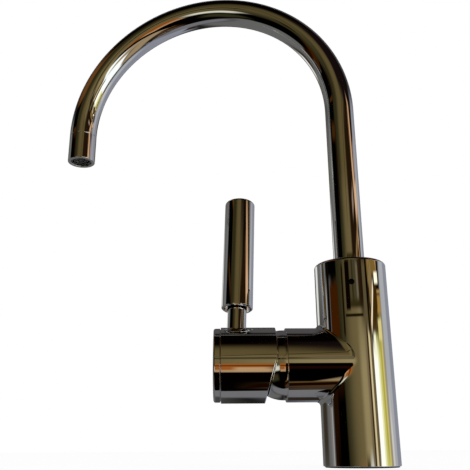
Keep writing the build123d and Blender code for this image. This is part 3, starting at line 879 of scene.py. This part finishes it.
class TAP_OT_lock_screw(bpy.types.Operator):
    """Makes the grub screw that keeps the spout in the body, with its hexagonal socket"""

    bl_idname = "tap.lock_screw"
    bl_label = "Grub screw"

    def execute(self, context):
        s = sizes()
        place = screw_place()
        top = BODY_RADIUS - s.screw_sink
        profile = outline(
            (0, RING_RADIUS), (s.screw_radius, RING_RADIUS), (s.screw_radius, top - s.screw_bevel),
            (s.screw_radius - s.screw_bevel, top), (0, top), closed=False)
        mesh = turned_mesh("screw", [profile], place, HOLE_STEPS)
        corner = s.screw_hex / math.sqrt(3)
        floor = top - s.screw_hex
        past_end = top * 2
        key = outline((0, floor), (corner, floor, KEY_ROUND), (corner, past_end, KEY_ROUND), (0, past_end),
                      closed=False)
        socket = turned_mesh("key", [key], place, HEXAGON, hollow=True)
        # The grub screw gets the near-black steel, a painted shade of its hole
        add_piece("grub_screw", carved(mesh, socket), "root", "steel", black_steel(), "spout_lock_screw")
        return {"FINISHED"}


class TAP_OT_spout(bpy.types.Operator):
    """Makes the bent spout tube and the bearing ring that it turns in"""

    bl_idname = "tap.spout"
    bl_label = "Spout tube"

    def execute(self, context):
        s = sizes()
        inner = TUBE_RADIUS - s.tube_wall
        end = ARCH_START + math.pi * ARCH_RADIUS
        profile = outline((inner, TUBE_START), (TUBE_RADIUS, TUBE_START), (TUBE_RADIUS, end), (inner, end),
                          longest=ARCH_RADIUS * BEND_STEP)
        skin = Skin()
        skin.turned(profile, upright(), full_turn(TUBE_STEPS))
        bend_tube(skin)
        add_piece("spout", skin.mesh("spout"), "spout", "chrome", chrome(), "spout_tube")
        ring_inner = TUBE_RADIUS + s.ring_clearance
        ring = outline((ring_inner, RING_FOOT), (RING_RADIUS, RING_FOOT), (RING_RADIUS, RING_TOP),
                       (ring_inner, RING_TOP))
        mesh = turned_mesh("ring", [ring], upright(), PIN_STEPS)
        add_piece("bearing_ring", mesh, "root", "white_plastic", white_plastic(), "spout_bearing_ring")
        return {"FINISHED"}


def bend_tube(skin):
    """Bends a straight upright tube into the arch, above the level where the arch starts."""
    towards = np.array((-math.cos(SPOUT_TURN), math.sin(SPOUT_TURN), 0.0))
    for points, normals in zip(skin.points, skin.normals):
        turn = np.maximum(points[:, 2:] - ARCH_START, 0) / ARCH_RADIUS
        across = points @ towards
        side = points - across[:, None] * towards - points[:, 2:] * UP
        arm = across[:, None] - ARCH_RADIUS
        middle = towards * ARCH_RADIUS + UP * np.minimum(points[:, 2:], ARCH_START)
        points[:] = side + middle + arm * (np.cos(turn) * towards - np.sin(turn) * UP)
        out = (normals @ towards)[:, None]
        up = normals[:, 2:]
        level = normals - out * towards - up * UP
        normals[:] = (level + out * (np.cos(turn) * towards - np.sin(turn) * UP)
                      + up * (np.sin(turn) * towards + np.cos(turn) * UP))


class TAP_OT_outlet(bpy.types.Operator):
    """Makes the outlet sleeve at the spout's end and the gauze inside it"""

    bl_idname = "tap.outlet"
    bl_label = "Outlet"

    def execute(self, context):
        s = sizes()
        bore = TUBE_RADIUS - s.outlet_wall
        mouth = bore - s.outlet_ledge
        neck = TUBE_RADIUS - s.tube_wall
        foot = tidy(OUTLET_LOW.z)
        seam = TUBE_RADIUS - s.outlet_seam_depth
        seam_foot = ARCH_START - s.outlet_seam
        top = OUTLET_HIGH.z
        fine = s.edge_round / 2
        profile = outline(
            (mouth, foot, s.outlet_lip), (TUBE_RADIUS, foot, s.outlet_lip), (TUBE_RADIUS, seam_foot, fine),
            (seam, seam_foot, fine), (seam, ARCH_START, fine), (neck, ARCH_START, fine), (neck, top),
            (bore, top), (bore, GAUZE_LOW, fine), (mouth, GAUZE_LOW, fine))
        place = upright(OUTLET_MIDDLE.x, OUTLET_MIDDLE.y)
        mesh = turned_mesh("sleeve", [profile], place, TUBE_STEPS)
        add_piece("outlet_sleeve", mesh, "spout", "chrome", chrome(), "aerator_housing")
        mesh = gauze_mesh(bore)
        # The gauze gets the near-black finish, a painted shade of the outlet's bore
        add_piece("outlet_gauze", mesh, "spout", "gauze", gauze_painted_shade(), "aerator_gauze")
        return {"FINISHED"}


class Building(Wiring):
    """Short ways to add and join geometry nodes."""

    def add(self, kind, **inputs):
        node = self.node(kind)
        for name, value in inputs.items():
            self.feed(node.inputs[name.replace("_", " ")], value)
        return node.outputs[0]


# Sides of a wire, and how far each layer's wires lie from the gauze's middle, in a wire's radii
WIRE_SIDES = 6
WIRE_LIFT = 0.9


def gauze_tree():
    """Two layers of parallel wires, each as long as the round opening is wide there."""
    tree = bpy.data.node_groups.new("gauze_wires", "GeometryNodeTree")
    tree.interface.new_socket("Geometry", in_out="OUTPUT", socket_type="NodeSocketGeometry")
    inputs = {"Wires": "NodeSocketInt", "Radius": "NodeSocketFloat", "Wire Radius": "NodeSocketFloat",
              "Centre": "NodeSocketVector", "Material": "NodeSocketMaterial"}
    for title, kind in inputs.items():
        tree.interface.new_socket(title, in_out="INPUT", socket_type=kind)
    b = Building(tree)
    given = b.node("NodeGroupInput").outputs
    out = b.node("NodeGroupOutput")
    # A row of points across the opening, one for each wire
    pitch = b.math("DIVIDE", b.math("MULTIPLY", given["Radius"], 2.0), given["Wires"])
    first = b.math("MULTIPLY_ADD", pitch, 0.5, b.math("MULTIPLY", given["Radius"], -1.0))
    line = b.node("GeometryNodeMeshLine", mode="OFFSET")
    b.feed(line.inputs["Count"], given["Wires"])
    b.feed(line.inputs["Start Location"], b.add("ShaderNodeCombineXYZ", X=first))
    b.feed(line.inputs["Offset"], b.add("ShaderNodeCombineXYZ", X=pitch))
    # A wire of half length one, stretched to the half width of the opening at its point
    wire = b.add("GeometryNodeMeshCylinder", Vertices=WIRE_SIDES, Radius=given["Wire Radius"], Depth=2.0)
    across = b.add("ShaderNodeSeparateXYZ", Vector=b.add("GeometryNodeInputPosition"))
    squares = [b.math("MULTIPLY", value, value) for value in (given["Radius"], across)]
    half = b.math("SQRT", b.math("SUBTRACT", *squares))
    layer = b.add("GeometryNodeInstanceOnPoints", Points=line.outputs[0], Instance=wire,
                  Rotation=(math.pi / 2, 0.0, 0.0), Scale=b.add("ShaderNodeCombineXYZ", X=1.0, Y=1.0, Z=half))
    both = b.node("GeometryNodeJoinGeometry")
    for turn, lift in ((0.0, WIRE_LIFT), (math.pi / 2, -WIRE_LIFT)):
        height = b.math("MULTIPLY", given["Wire Radius"], lift)
        moved = b.add("GeometryNodeTransform", Geometry=layer, Rotation=(0.0, 0.0, turn),
                      Translation=b.add("ShaderNodeCombineXYZ", Z=height))
        b.tree.links.new(moved, both.inputs[0])
    placed = b.add("GeometryNodeTransform", Geometry=both.outputs[0], Translation=given["Centre"])
    real = b.add("GeometryNodeRealizeInstances", Geometry=placed)
    b.feed(out.inputs[0], b.add("GeometryNodeSetMaterial", Geometry=real, Material=given["Material"]))
    return tree


def grown(tree, **values):
    """Runs a geometry tree on an empty mesh and gives the mesh that it makes."""
    host = new_object(tree.name, bpy.data.meshes.new(tree.name))
    modifier = host.modifiers.new("grow", "NODES")
    modifier.node_group = tree
    for item in tree.interface.items_tree:
        if item.in_out == "INPUT":
            modifier[item.identifier] = values[item.name.replace(" ", "_")]
    mesh = evaluated(host)
    host.modifiers.remove(modifier)
    bpy.data.objects.remove(host)
    return mesh


def gauze_mesh(bore):
    """The gauze across the outlet's bore, as a mesh in its place."""
    s = sizes()
    centre = (OUTLET_MIDDLE.x, OUTLET_MIDDLE.y, (GAUZE_LOW + GAUZE_TOP) / 2)
    mesh = grown(gauze_tree(), Wires=s.wires, Radius=bore, Wire_Radius=s.wire / 2, Centre=centre,
                 Material=gauze_painted_shade())
    mesh.shade_smooth()
    return mesh


class TAP_OT_neck(bpy.types.Operator):
    """Makes the domed ring on the arm's end, which the lever housing tilts round"""

    bl_idname = "tap.neck"
    bl_label = "Neck ring"

    def execute(self, context):
        s = sizes()
        inner = NECK_RADIUS - s.neck_wall
        skirt = ARM_FACE - s.skirt_depth
        bore = s.chamber_radius + s.edge_round
        start = -math.acos(s.skirt_radius / NECK_RADIUS)
        dome = arc(0, PIVOT, NECK_RADIUS, start, s.neck_edge)
        hollow = arc(0, PIVOT, inner, s.neck_edge, start, inside=True)
        rim = np.array((dome[0][-1], hollow[0][0]))
        edge = (rim, np.tile(right_of(unit(rim[1] - rim[0])), (2, 1)))
        tail = outline(tuple(hollow[0][-1]), (bore, ARM_FACE), (bore, skirt), (s.skirt_radius, skirt),
                       tuple(dome[0][0]), closed=False)
        mesh = turned_mesh("neck", [dome, edge, hollow, tail], lever_place())
        add_piece("neck_dome", mesh, "root", "chrome", chrome(), "neck_ring")
        return {"FINISHED"}


def housing_mesh():
    """The lever housing: a round wall with a slanted mouth, its web and hub, and the cover's seat."""
    s = sizes()
    place = lever_place()
    lip = s.edge_round * 2
    bore = HOUSING_RADIUS - s.housing_wall
    turns = full_turn(s.round_steps)
    skin = Skin()
    # The mouth's lower half lies further along the arm, by drop for each metre of radius
    drop = np.maximum(-np.cos(turns), 0) * math.tan(s.mouth_slant)
    shares = np.linspace(0, 1, HOUSING_ROWS)[:, None]
    c, n = np.cos(turns) + 0 * shares, np.sin(turns) + 0 * shares
    mouth = HOUSING_MOUTH + lip
    outer = mouth + HOUSING_RADIUS * drop
    back = HOUSING_END - s.edge_round
    level = outer + (back - outer) * shares
    skin.grid(place.at(HOUSING_RADIUS * c, HOUSING_RADIUS * n, level), place.direction(c, n, 0 * c))
    inner = mouth + bore * drop
    level = inner + (s.web_start - inner) * shares
    skin.grid(place.at(bore * c, bore * n, level), place.direction(-c, -n, 0 * c))
    # The mouth's lip and the web are walked with the outside on their left
    points, normals = outline((HOUSING_RADIUS, mouth), (HOUSING_RADIUS, HOUSING_MOUTH, lip),
                              (bore, HOUSING_MOUTH, lip), (bore, mouth), closed=False)
    radius = points[:, :1]
    level = points[:, 1:] + radius * drop
    c, n = np.cos(turns) + 0 * radius, np.sin(turns) + 0 * radius
    skin.grid(place.at(radius * c, radius * n, level),
              place.direction(-normals[:, :1] * c, -normals[:, :1] * n, -normals[:, 1:] + 0 * c))
    hub_start = s.web_start - s.hub_length
    points, normals = outline((bore, s.web_start), (s.hub_radius, s.web_start), (s.hub_radius, hub_start),
                              (0, hub_start), closed=False)
    skin.turned((points, -normals), place, turns)
    seat = HOUSING_END - s.cover_recess
    end = outline((HOUSING_RADIUS, back), (HOUSING_RADIUS, HOUSING_END), (s.cover_plug, HOUSING_END),
                  (s.cover_plug, seat), (0, seat), closed=False)
    skin.turned(end, place, turns)
    return skin.mesh("housing")


class TAP_OT_housing(bpy.types.Operator):
    """Makes the lever housing with its slanted mouth and the seat of the pin"""

    bl_idname = "tap.housing"
    bl_label = "Lever housing"

    def execute(self, context):
        s = sizes()
        low = HOUSING_RADIUS - s.pin_seat
        past_wall = HOUSING_RADIUS * 1.5
        seat = rod("pin_seat", pin_place(), s.pin_radius + s.pin_fit, low, past_wall, PIN_STEPS)
        add_piece("lever_shell", carved(housing_mesh(), seat), "lever", "chrome", chrome(), "lever_housing")
        return {"FINISHED"}


class TAP_OT_cover(bpy.types.Operator):
    """Makes the flat cover on the housing's outer end"""

    bl_idname = "tap.cover"
    bl_label = "End cover"

    def execute(self, context):
        s = sizes()
        neck = COVER_RADIUS - s.cover_seam_depth
        face = HOUSING_END + s.cover_seam
        profile = outline(
            (0, COVER_START), (s.cover_plug, COVER_START), (s.cover_plug, HOUSING_END), (neck, HOUSING_END),
            (neck, face), (COVER_RADIUS, face), (COVER_RADIUS, COVER_END, s.cover_round), (0, COVER_END),
            closed=False)
        mesh = turned_mesh("cover", [profile], lever_place())
        add_piece("housing_cover", mesh, "lever", "chrome", chrome(), "end_cover")
        return {"FINISHED"}


class TAP_OT_grip(bpy.types.Operator):
    """Makes the slim pin that stands on the housing and the thicker grip on it"""

    bl_idname = "tap.grip"
    bl_label = "Pin and grip"

    def execute(self, context):
        s = sizes()
        place = pin_place()
        seat = HOUSING_RADIUS - s.pin_seat
        roof = s.grip_start + s.grip_recess_depth
        pin = outline((0, seat), (s.pin_radius, seat), (s.pin_radius, roof), (0, roof), closed=False)
        mesh = turned_mesh("pin", [pin], place, PIN_STEPS)
        add_piece("grip_pin", mesh, "lever", "chrome", chrome(), "lever_pin")
        foot = s.grip_start
        end = foot + s.grip_length
        grip = outline(
            (s.pin_radius, roof, ROOF_ROUND), (s.grip_recess, roof), (s.grip_recess, foot),
            (s.grip_radius - s.grip_bevel, foot), (s.grip_radius, foot + s.grip_bevel),
            (s.grip_radius, end, s.grip_round), (0, end), closed=False)
        core = outline((0, roof), (s.pin_radius, roof), closed=False)
        mesh = turned_mesh("grip", [core, grip], place, TUBE_STEPS)
        add_piece("round_grip", mesh, "lever", "chrome", chrome(), "lever_grip")
        return {"FINISHED"}


class TAP_OT_inner(bpy.types.Operator):
    """Finishes the pieces inside: cartridge, stem, screws, seals and the outlet's insert"""

    bl_idname = "tap.inner"
    bl_label = "Inner pieces"

    def execute(self, context):
        finishes = {
            steel: ("stem_pin", "lever_stem", "handle_screw"),
            brass: ("cartridge_nut", "spout_spigot"),
            rubber: ("cartridge_seals", "spout_seals", "aerator_washer"),
            white_plastic: ("aerator_insert", "cartridge_rotor", "disc_carrier"),
            grey_plastic: ("cartridge_base", "cartridge_housing"),
            ceramic: ("fixed_disc", "moving_disc"),
        }
        for made_in, nodes in finishes.items():
            for node in nodes:
                obj = frame["nodes"][node]
                if not obj.material_slots:
                    obj.data.materials.append(None)
                for held in obj.material_slots:
                    held.material = made_in()
        return {"FINISHED"}


# Studio

# Where the soft lamp hangs and what it points at, and the camera's sensor and range
LAMP_PLACE = Vector((0.5, -0.8, 1.4))
LAMP_AIM = Vector((-0.05, 0.0, 0.12))
SENSOR_WIDTH = 36.0
NEAREST = 0.01
FURTHEST = 20.0
# A display's brightness is the scene's to the power of one over this
DISPLAY_GAMMA = 2.2

# The soft cards are patches of colour all round the tap, which only its chrome shows, each laid over the
# ones before: (azimuth, elevation, half width, half height, slope, softness across, softness up, colour),
# in degrees and hundredths of display brightness. Azimuth 0 is behind the tap and 90 towards +X
# What the chrome shows where no card lies
GROUND = (4, 3, 2)
CARDS = (
    # Behind the tap: grey on the left, blue grey on the right, dim overhead and grey underfoot
    (-52, -14, 50, 44, 0.0, 14, 12, (41, 41, 40)),
    (-46, 4, 14, 7, 0.0, 14, 8, (24, 21, 17)),
    (-80, 3, 6, 8, 0.0, 5, 6, (50, 48, 47)),
    (-72, 22, 10, 8, 0.0, 8, 6, (46, 46, 45)),
    (-30, 14, 9, 6, 0.3, 6, 5, (92, 92, 90)),
    (48, -14, 41, 48, 0.0, 10, 12, (56, 57, 61)),
    (76, -8, 13, 34, 0.0, 10, 20, (70, 71, 72)),
    (83, -4, 5, 7, 0.0, 6, 6, (86, 84, 81)),
    (10, -45, 5, 13, 0.0, 5, 10, (20, 17, 14)),
    (5, -78, 100, 18, 0.0, 24, 14, (46, 46, 47)),
    (5, 52, 60, 20, 0.0, 40, 14, (32, 31, 31)),
    (2, 24, 28, 3, 0.0, 6, 3, (34, 30, 22)),
    # Behind the camera: olive, brightest just above the horizon
    (-158, 20, 40, 24, 0.0, 26, 30, (20, 19, 12)),
    (178, 26, 26, 22, 0.0, 26, 30, (38, 33, 21)),
    (174, 5, 30, 18, 0.0, 56, 3, (44, 39, 26)),
    (165, 3, 10, 7, 0.0, 14, 8, (60, 54, 38)),
    (-124, 2, 8, 7, 0.0, 10, 8, (3, 2, 1)),
    # A dark bar above that, with a thin line over it and one under it
    (181, 14.2, 24, 2.4, 0.0, 3, 0.5, (22, 19, 10)),
    (176, 14.4, 6, 1.9, 0.0, 3, 0.8, (28, 26, 18)),
    (-170, 14.4, 3, 1.9, 0.0, 3, 0.8, (30, 27, 19)),
    (-159.0, 13.8, 6.5, 2.2, 0.0, 2, 0.5, (7, 4, 2)),
    (170, 14.2, 3, 1.6, 0.0, 3, 0.8, (44, 39, 32)),
    (160, 14.2, 5, 1.8, 0.0, 3, 0.8, (20, 16, 9)),
    (184, 11.15, 27, 0.13, 0.0, 3, 0.16, (12, 9, 3)),
    (175.5, 25.2, 7.5, 0.7, -0.8, 2, 1.0, (17, 12, 3)),
    # Left: orange brown high up, black, a brown band, black again
    (-96, 42, 28, 7, 0.1, 14, 9, (42, 27, 14)),
    (-104, 24.6, 20, 10.2, 0.0, 4, 1.2, (3, 3, 3)),
    (-112, 27.4, 14, 0.7, 0.0, 8, 1.0, (26, 16, 7)),
    (-128, 24, 5, 4, 0.0, 4, 5, (15, 10, 7)),
    (-113, 9.4, 14, 4.6, 0.0, 4, 1.2, (25, 13, 2)),
    (-92, 12, 5, 5, 0.0, 3, 3, (8, 6, 4)),
    (-83, 4, 1.8, 9.5, 0.0, 2, 1.5, (64, 64, 62)),
    (-108, 2, 20, 5, 0.0, 8, 4, (14, 8, 3)),
    (-120, 1, 12, 3.5, 0.0, 4, 2, (2, 2, 1)),
    (-117, -20, 17, 20, 0.0, 5, 6, (1, 1, 1)),
    (-153, -17, 11, 7, -0.1, 8, 8, (88, 87, 78)),
    (-137, -45, 20, 10, 0.0, 14, 12, (22, 21, 14)),
    # Behind the camera, under the horizon: a warm strip, then black
    (-178, -48, 22, 22, 0.0, 20, 4, (4, 2, 1)),
    (-176, -14, 10, 12, 0.0, 4, 3, (62, 36, 16)),
    (-176, -8.5, 10, 1.5, 0.0, 4, 2, (34, 18, 7)),
    (-176, -24, 10, 3.5, 0.0, 4, 3, (70, 57, 42)),
    (177.5, -19, 2, 6, 0.0, 1, 3, (74, 60, 44)),
    (133, -80, 16, 3, 0.0, 10, 4, (27, 22, 16)),
    # Right: a white card with yellow and cream over it and tan under it
    (131, -15, 33, 13.5, 0.0, 8, 4, (108, 110, 108)),
    (155, -24, 11, 11, -0.6, 8, 5, (64, 56, 44)),
    (136, -42, 32, 11, -0.15, 12, 8, (64, 55, 42)),
    (140, -68, 30, 10, 0.0, 20, 12, (30, 22, 16)),
    (171, -29, 4.6, 28, 0.0, 1.5, 2, (2, 1, 1)),
    (171, -14, 5, 4, 0.0, 2, 3, (13, 6, 3)),
    (165, -66, 10, 9, -0.6, 4, 2, (12, 6, 2)),
    (166, -59.5, 5, 1.6, -0.6, 4, 2, (40, 30, 14)),
    (108, 3, 13, 6, 0.0, 5, 4, (84, 82, 46)),
    (97, 4, 3, 7, 0.0, 3, 3, (84, 79, 46)),
    (103.5, 5, 3, 6, 0.0, 3, 3, (73, 68, 29)),
    (91, 4, 4, 7, 0.0, 4, 4, (64, 60, 50)),
    (116, 2.5, 3, 6, 0.0, 3, 3, (98, 97, 76)),
    (125.5, 2, 7, 6.5, 0.0, 3, 2, (110, 110, 104)),
    (124, 8.6, 4, 1.2, 0.0, 3, 1.5, (104, 104, 88)),
    (137.8, 2, 3.2, 9, 0.0, 1.5, 2, (43, 37, 24)),
    (143.6, 4, 2.7, 6.4, 0.1, 1.5, 2, (88, 81, 63)),
    (149.4, 4.5, 2.6, 7, 0.1, 1.5, 2, (25, 19, 7)),
    (154, 4, 2.4, 6, 0.2, 3, 2, (48, 42, 32)),
    # Right: slanting streaks between the white card and the dark above
    (124, 22, 38, 9, -0.06, 12, 4, (16, 11, 7)),
    (124, 10.6, 20, 1.0, 0.0, 6, 0.8, (32, 25, 14)),
    (101, 9.8, 7, 0.9, 0.0, 4, 0.6, (92, 86, 56)),
    (98, 12.0, 8, 0.8, 0.0, 4, 0.5, (68, 54, 28)),
    (97, 13.1, 9, 0.15, 0.0, 4, 0.3, (70, 56, 34)),
    (113, 12.4, 9, 1.6, -0.1, 5, 0.6, (26, 18, 7)),
    (118, 15.4, 18, 0.8, 0.0, 6, 0.8, (50, 40, 20)),
    (128, 13.7, 7, 1.5, -0.1, 2, 0.8, (54, 45, 29)),
    (134, 12.6, 2, 1.2, 0.0, 2, 1.0, (18, 14, 8)),
    (148, 13, 5, 3, 0.0, 2, 1.5, (37, 33, 23)),
    (125, 11.9, 7.5, 0.6, -0.26, 2, 0.5, (104, 97, 82)),
    (104, 14.3, 7, 0.5, 0.0, 3, 0.4, (116, 112, 98)),
    (139.5, 13, 2.4, 3.6, 0.0, 2.4, 1.5, (6, 4, 0)),
    (-143, 12.5, 2.6, 3.2, 0.0, 2, 1, (12, 8, 1)),
    (113, 26, 13, 4.2, 0.57, 3, 2.4, (86, 68, 50)),
    (96, 21, 9, 1.8, -0.05, 5, 1.4, (90, 74, 60)),
    (112, 18.0, 20, 0.7, -0.10, 8, 1.0, (58, 46, 30)),
    (130, 21.2, 7, 1.0, -0.10, 4, 1.2, (60, 52, 45)),
    (88, 25, 9, 1.5, -0.05, 6, 1.6, (62, 57, 57)),
    (126, 31, 10, 1.2, 0.57, 3, 1.6, (24, 14, 8)),
    (128, 50, 42, 17, 0.0, 16, 12, (11, 8, 8)),
)


def card_group():
    """Lays one soft-edged patch of colour over what is under it."""
    known = bpy.data.node_groups.get("soft_card")
    if known:
        return known
    inputs = [("Under", "NodeSocketColor", None), ("Azimuth", "NodeSocketFloat", 0.0),
              ("Elevation", "NodeSocketFloat", 0.0), ("Middle", "NodeSocketFloat", 0.0),
              ("Level", "NodeSocketFloat", 0.0), ("Half Width", "NodeSocketFloat", 10.0),
              ("Half Height", "NodeSocketFloat", 10.0), ("Slope", "NodeSocketFloat", 0.0),
              ("Soft Across", "NodeSocketFloat", 2.0), ("Soft Up", "NodeSocketFloat", 2.0),
              ("Colour", "NodeSocketColor", None)]
    tree, given, out = new_group("soft_card", inputs, [("Colour", "NodeSocketColor")])
    w = Wiring(tree)
    i = given.outputs
    across = w.math("WRAP", w.math("SUBTRACT", i["Azimuth"], i["Middle"]), 180.0, -180.0)
    over = w.math("SUBTRACT", i["Elevation"], w.math("MULTIPLY_ADD", across, i["Slope"], i["Level"]))
    masks = []
    for distance, half, soft in ((across, i["Half Width"], i["Soft Across"]),
                                 (over, i["Half Height"], i["Soft Up"])):
        inside = w.math("SUBTRACT", half, w.math("ABSOLUTE", distance))
        masks.append(w.remap(inside, w.math("MULTIPLY", soft, -0.5), w.math("MULTIPLY", soft, 0.5), 0.0, 1.0))
    w.feed(out.inputs[0], w.mix(w.math("MULTIPLY", *masks), i["Under"], i["Colour"]))
    return tree


def shown(tint):
    """The scene colour of a brightness in hundredths as it looks on a display."""
    return rgba([(v / 100) ** DISPLAY_GAMMA for v in tint])


def surroundings(w):
    """The colour that a mirror sees in each direction: a dim ground with the cards laid over it."""
    way = w.node("ShaderNodeSeparateXYZ")
    w.feed(way.inputs[0], w.node("ShaderNodeTexCoord").outputs["Generated"])
    degrees = 180.0 / math.pi
    azimuth = w.math("MULTIPLY", w.math("ARCTAN2", way.outputs[0], way.outputs[1]), degrees)
    elevation = w.math("MULTIPLY", w.math("ARCSINE", way.outputs[2]), degrees)
    colour_now = shown(GROUND)
    for middle, level, wide, high, slope, across, up, tint in CARDS:
        node = w.group(card_group(), Under=colour_now, Azimuth=azimuth, Elevation=elevation, Middle=middle,
                       Level=level, Half_Width=wide, Half_Height=high, Slope=slope, Soft_Across=across,
                       Soft_Up=up, Colour=shown(tint))
        colour_now = node.outputs[0]
    return colour_now


class TAP_OT_stage(bpy.types.Operator):
    """Sets the floor, the soft light, the surroundings and the camera"""

    bl_idname = "tap.stage"
    bl_label = "Stage"

    def execute(self, context):
        s = context.scene.tap_studio
        self.world(context, s)
        self.floor(s)
        self.lamp(s)
        self.camera(context, s)
        context.scene.view_settings.view_transform = "Standard"
        return {"FINISHED"}

    def world(self, context, s):
        """White to the camera, even soft light on the pieces, and the cards in the chrome."""
        world = bpy.data.worlds.new("studio")
        context.scene.world = world
        world.use_nodes = True
        world.node_tree.nodes.clear()
        w = Wiring(world.node_tree)
        path = w.node("ShaderNodeLightPath").outputs
        soft = w.background(WHITE, s.ambient)
        cards = w.background(surroundings(w), 1.0)
        mirrored = w.mix_shaders(path["Is Glossy Ray"], soft, cards)
        seen = w.mix_shaders(path["Is Camera Ray"], mirrored, w.background(WHITE, 1.0))
        w.feed(w.node("ShaderNodeOutputWorld").inputs[0], seen)

    def floor(self, s):
        """A pale floor that keeps the tap's soft shadow and fades into the white background."""
        half = s.floor_size / 2
        mesh = bpy.data.meshes.new("floor")
        corners = [(-half, -half, 0), (half, -half, 0), (half, half, 0), (-half, half, 0)]
        mesh.from_pydata(corners, [], [(0, 1, 2, 3)])
        material = bpy.data.materials.new("pale_floor")
        material.use_nodes = True
        material.node_tree.nodes.clear()
        w = Wiring(material.node_tree)
        matt = w.node("ShaderNodeBsdfDiffuse")
        w.feed(matt.inputs["Color"], rgba(s.floor))
        glow = w.node("ShaderNodeEmission")
        w.feed(glow.inputs["Color"], WHITE)
        path = w.node("ShaderNodeLightPath")
        whiteness = w.math("MULTIPLY", path.outputs["Is Camera Ray"], s.floor_white)
        seen = w.mix_shaders(whiteness, matt.outputs[0], glow.outputs[0])
        w.feed(w.node("ShaderNodeOutputMaterial").inputs[0], seen)
        mesh.materials.append(material)
        obj = new_object("floor", mesh)
        obj.visible_glossy = False

    def lamp(self, s):
        """A wide soft lamp over the camera's right shoulder, which the chrome doesn't mirror."""
        data = bpy.data.lights.new("soft_lamp", "AREA")
        data.energy = s.lamp
        data.size = s.lamp_size
        obj = new_object("soft_lamp", data)
        obj.location = LAMP_PLACE
        obj.rotation_euler = (LAMP_AIM - LAMP_PLACE).to_track_quat("-Z", "Y").to_euler()
        obj.visible_glossy = False

    def camera(self, context, s):
        """The photograph's camera: turned, tilted and rolled about its place."""
        data = bpy.data.cameras.new("camera")
        data.sensor_width = SENSOR_WIDTH
        data.lens = s.lens
        data.clip_start = NEAREST
        data.clip_end = FURTHEST
        yaw, pitch, roll = s.camera_yaw, s.camera_pitch, s.camera_roll
        flat = math.cos(pitch)
        ahead = Vector((-math.sin(yaw) * flat, math.cos(yaw) * flat, math.sin(pitch)))
        level = Vector((math.cos(yaw), math.sin(yaw), 0))
        above = level.cross(ahead)
        side = math.cos(roll) * level + math.sin(roll) * above
        up = math.cos(roll) * above - math.sin(roll) * level
        turn = Matrix((side, up, -ahead)).transposed().to_4x4()
        obj = new_object("camera", data)
        obj.matrix_world = Matrix.Translation(s.camera_place) @ turn
        context.scene.camera = obj


class TAP_PT_panel(bpy.types.Panel):
    """Lists the steps that build the tap"""

    bl_idname = "TAP_PT_panel"
    bl_label = "Basin mixer tap"
    bl_space_type = "VIEW_3D"
    bl_region_type = "UI"
    bl_category = "Tap"

    def draw(self, context):
        for step in STEPS:
            self.layout.operator(step.bl_idname, text=step.bl_label)


STEPS = (TAP_OT_stage, TAP_OT_body, TAP_OT_base, TAP_OT_lock_screw, TAP_OT_spout, TAP_OT_outlet,
         TAP_OT_neck, TAP_OT_housing, TAP_OT_cover, TAP_OT_grip, TAP_OT_inner)
GROUPS = {"tap_sizes": TapSizes, "tap_finish": TapFinish, "tap_studio": TapStudio}
CLASSES = (*GROUPS.values(), *STEPS, TAP_PT_panel)


def register():
    for item in CLASSES:
        bpy.utils.register_class(item)
    for name, group in GROUPS.items():
        setattr(bpy.types.Scene, name, PointerProperty(type=group))


def unregister():
    for name in GROUPS:
        delattr(bpy.types.Scene, name)
    for item in reversed(CLASSES):
        bpy.utils.unregister_class(item)


def main():
    register()
    for step in STEPS:
        family, name = step.bl_idname.split(".")
        getattr(getattr(bpy.ops, family), name)()


if __name__ == "__main__":
    main()
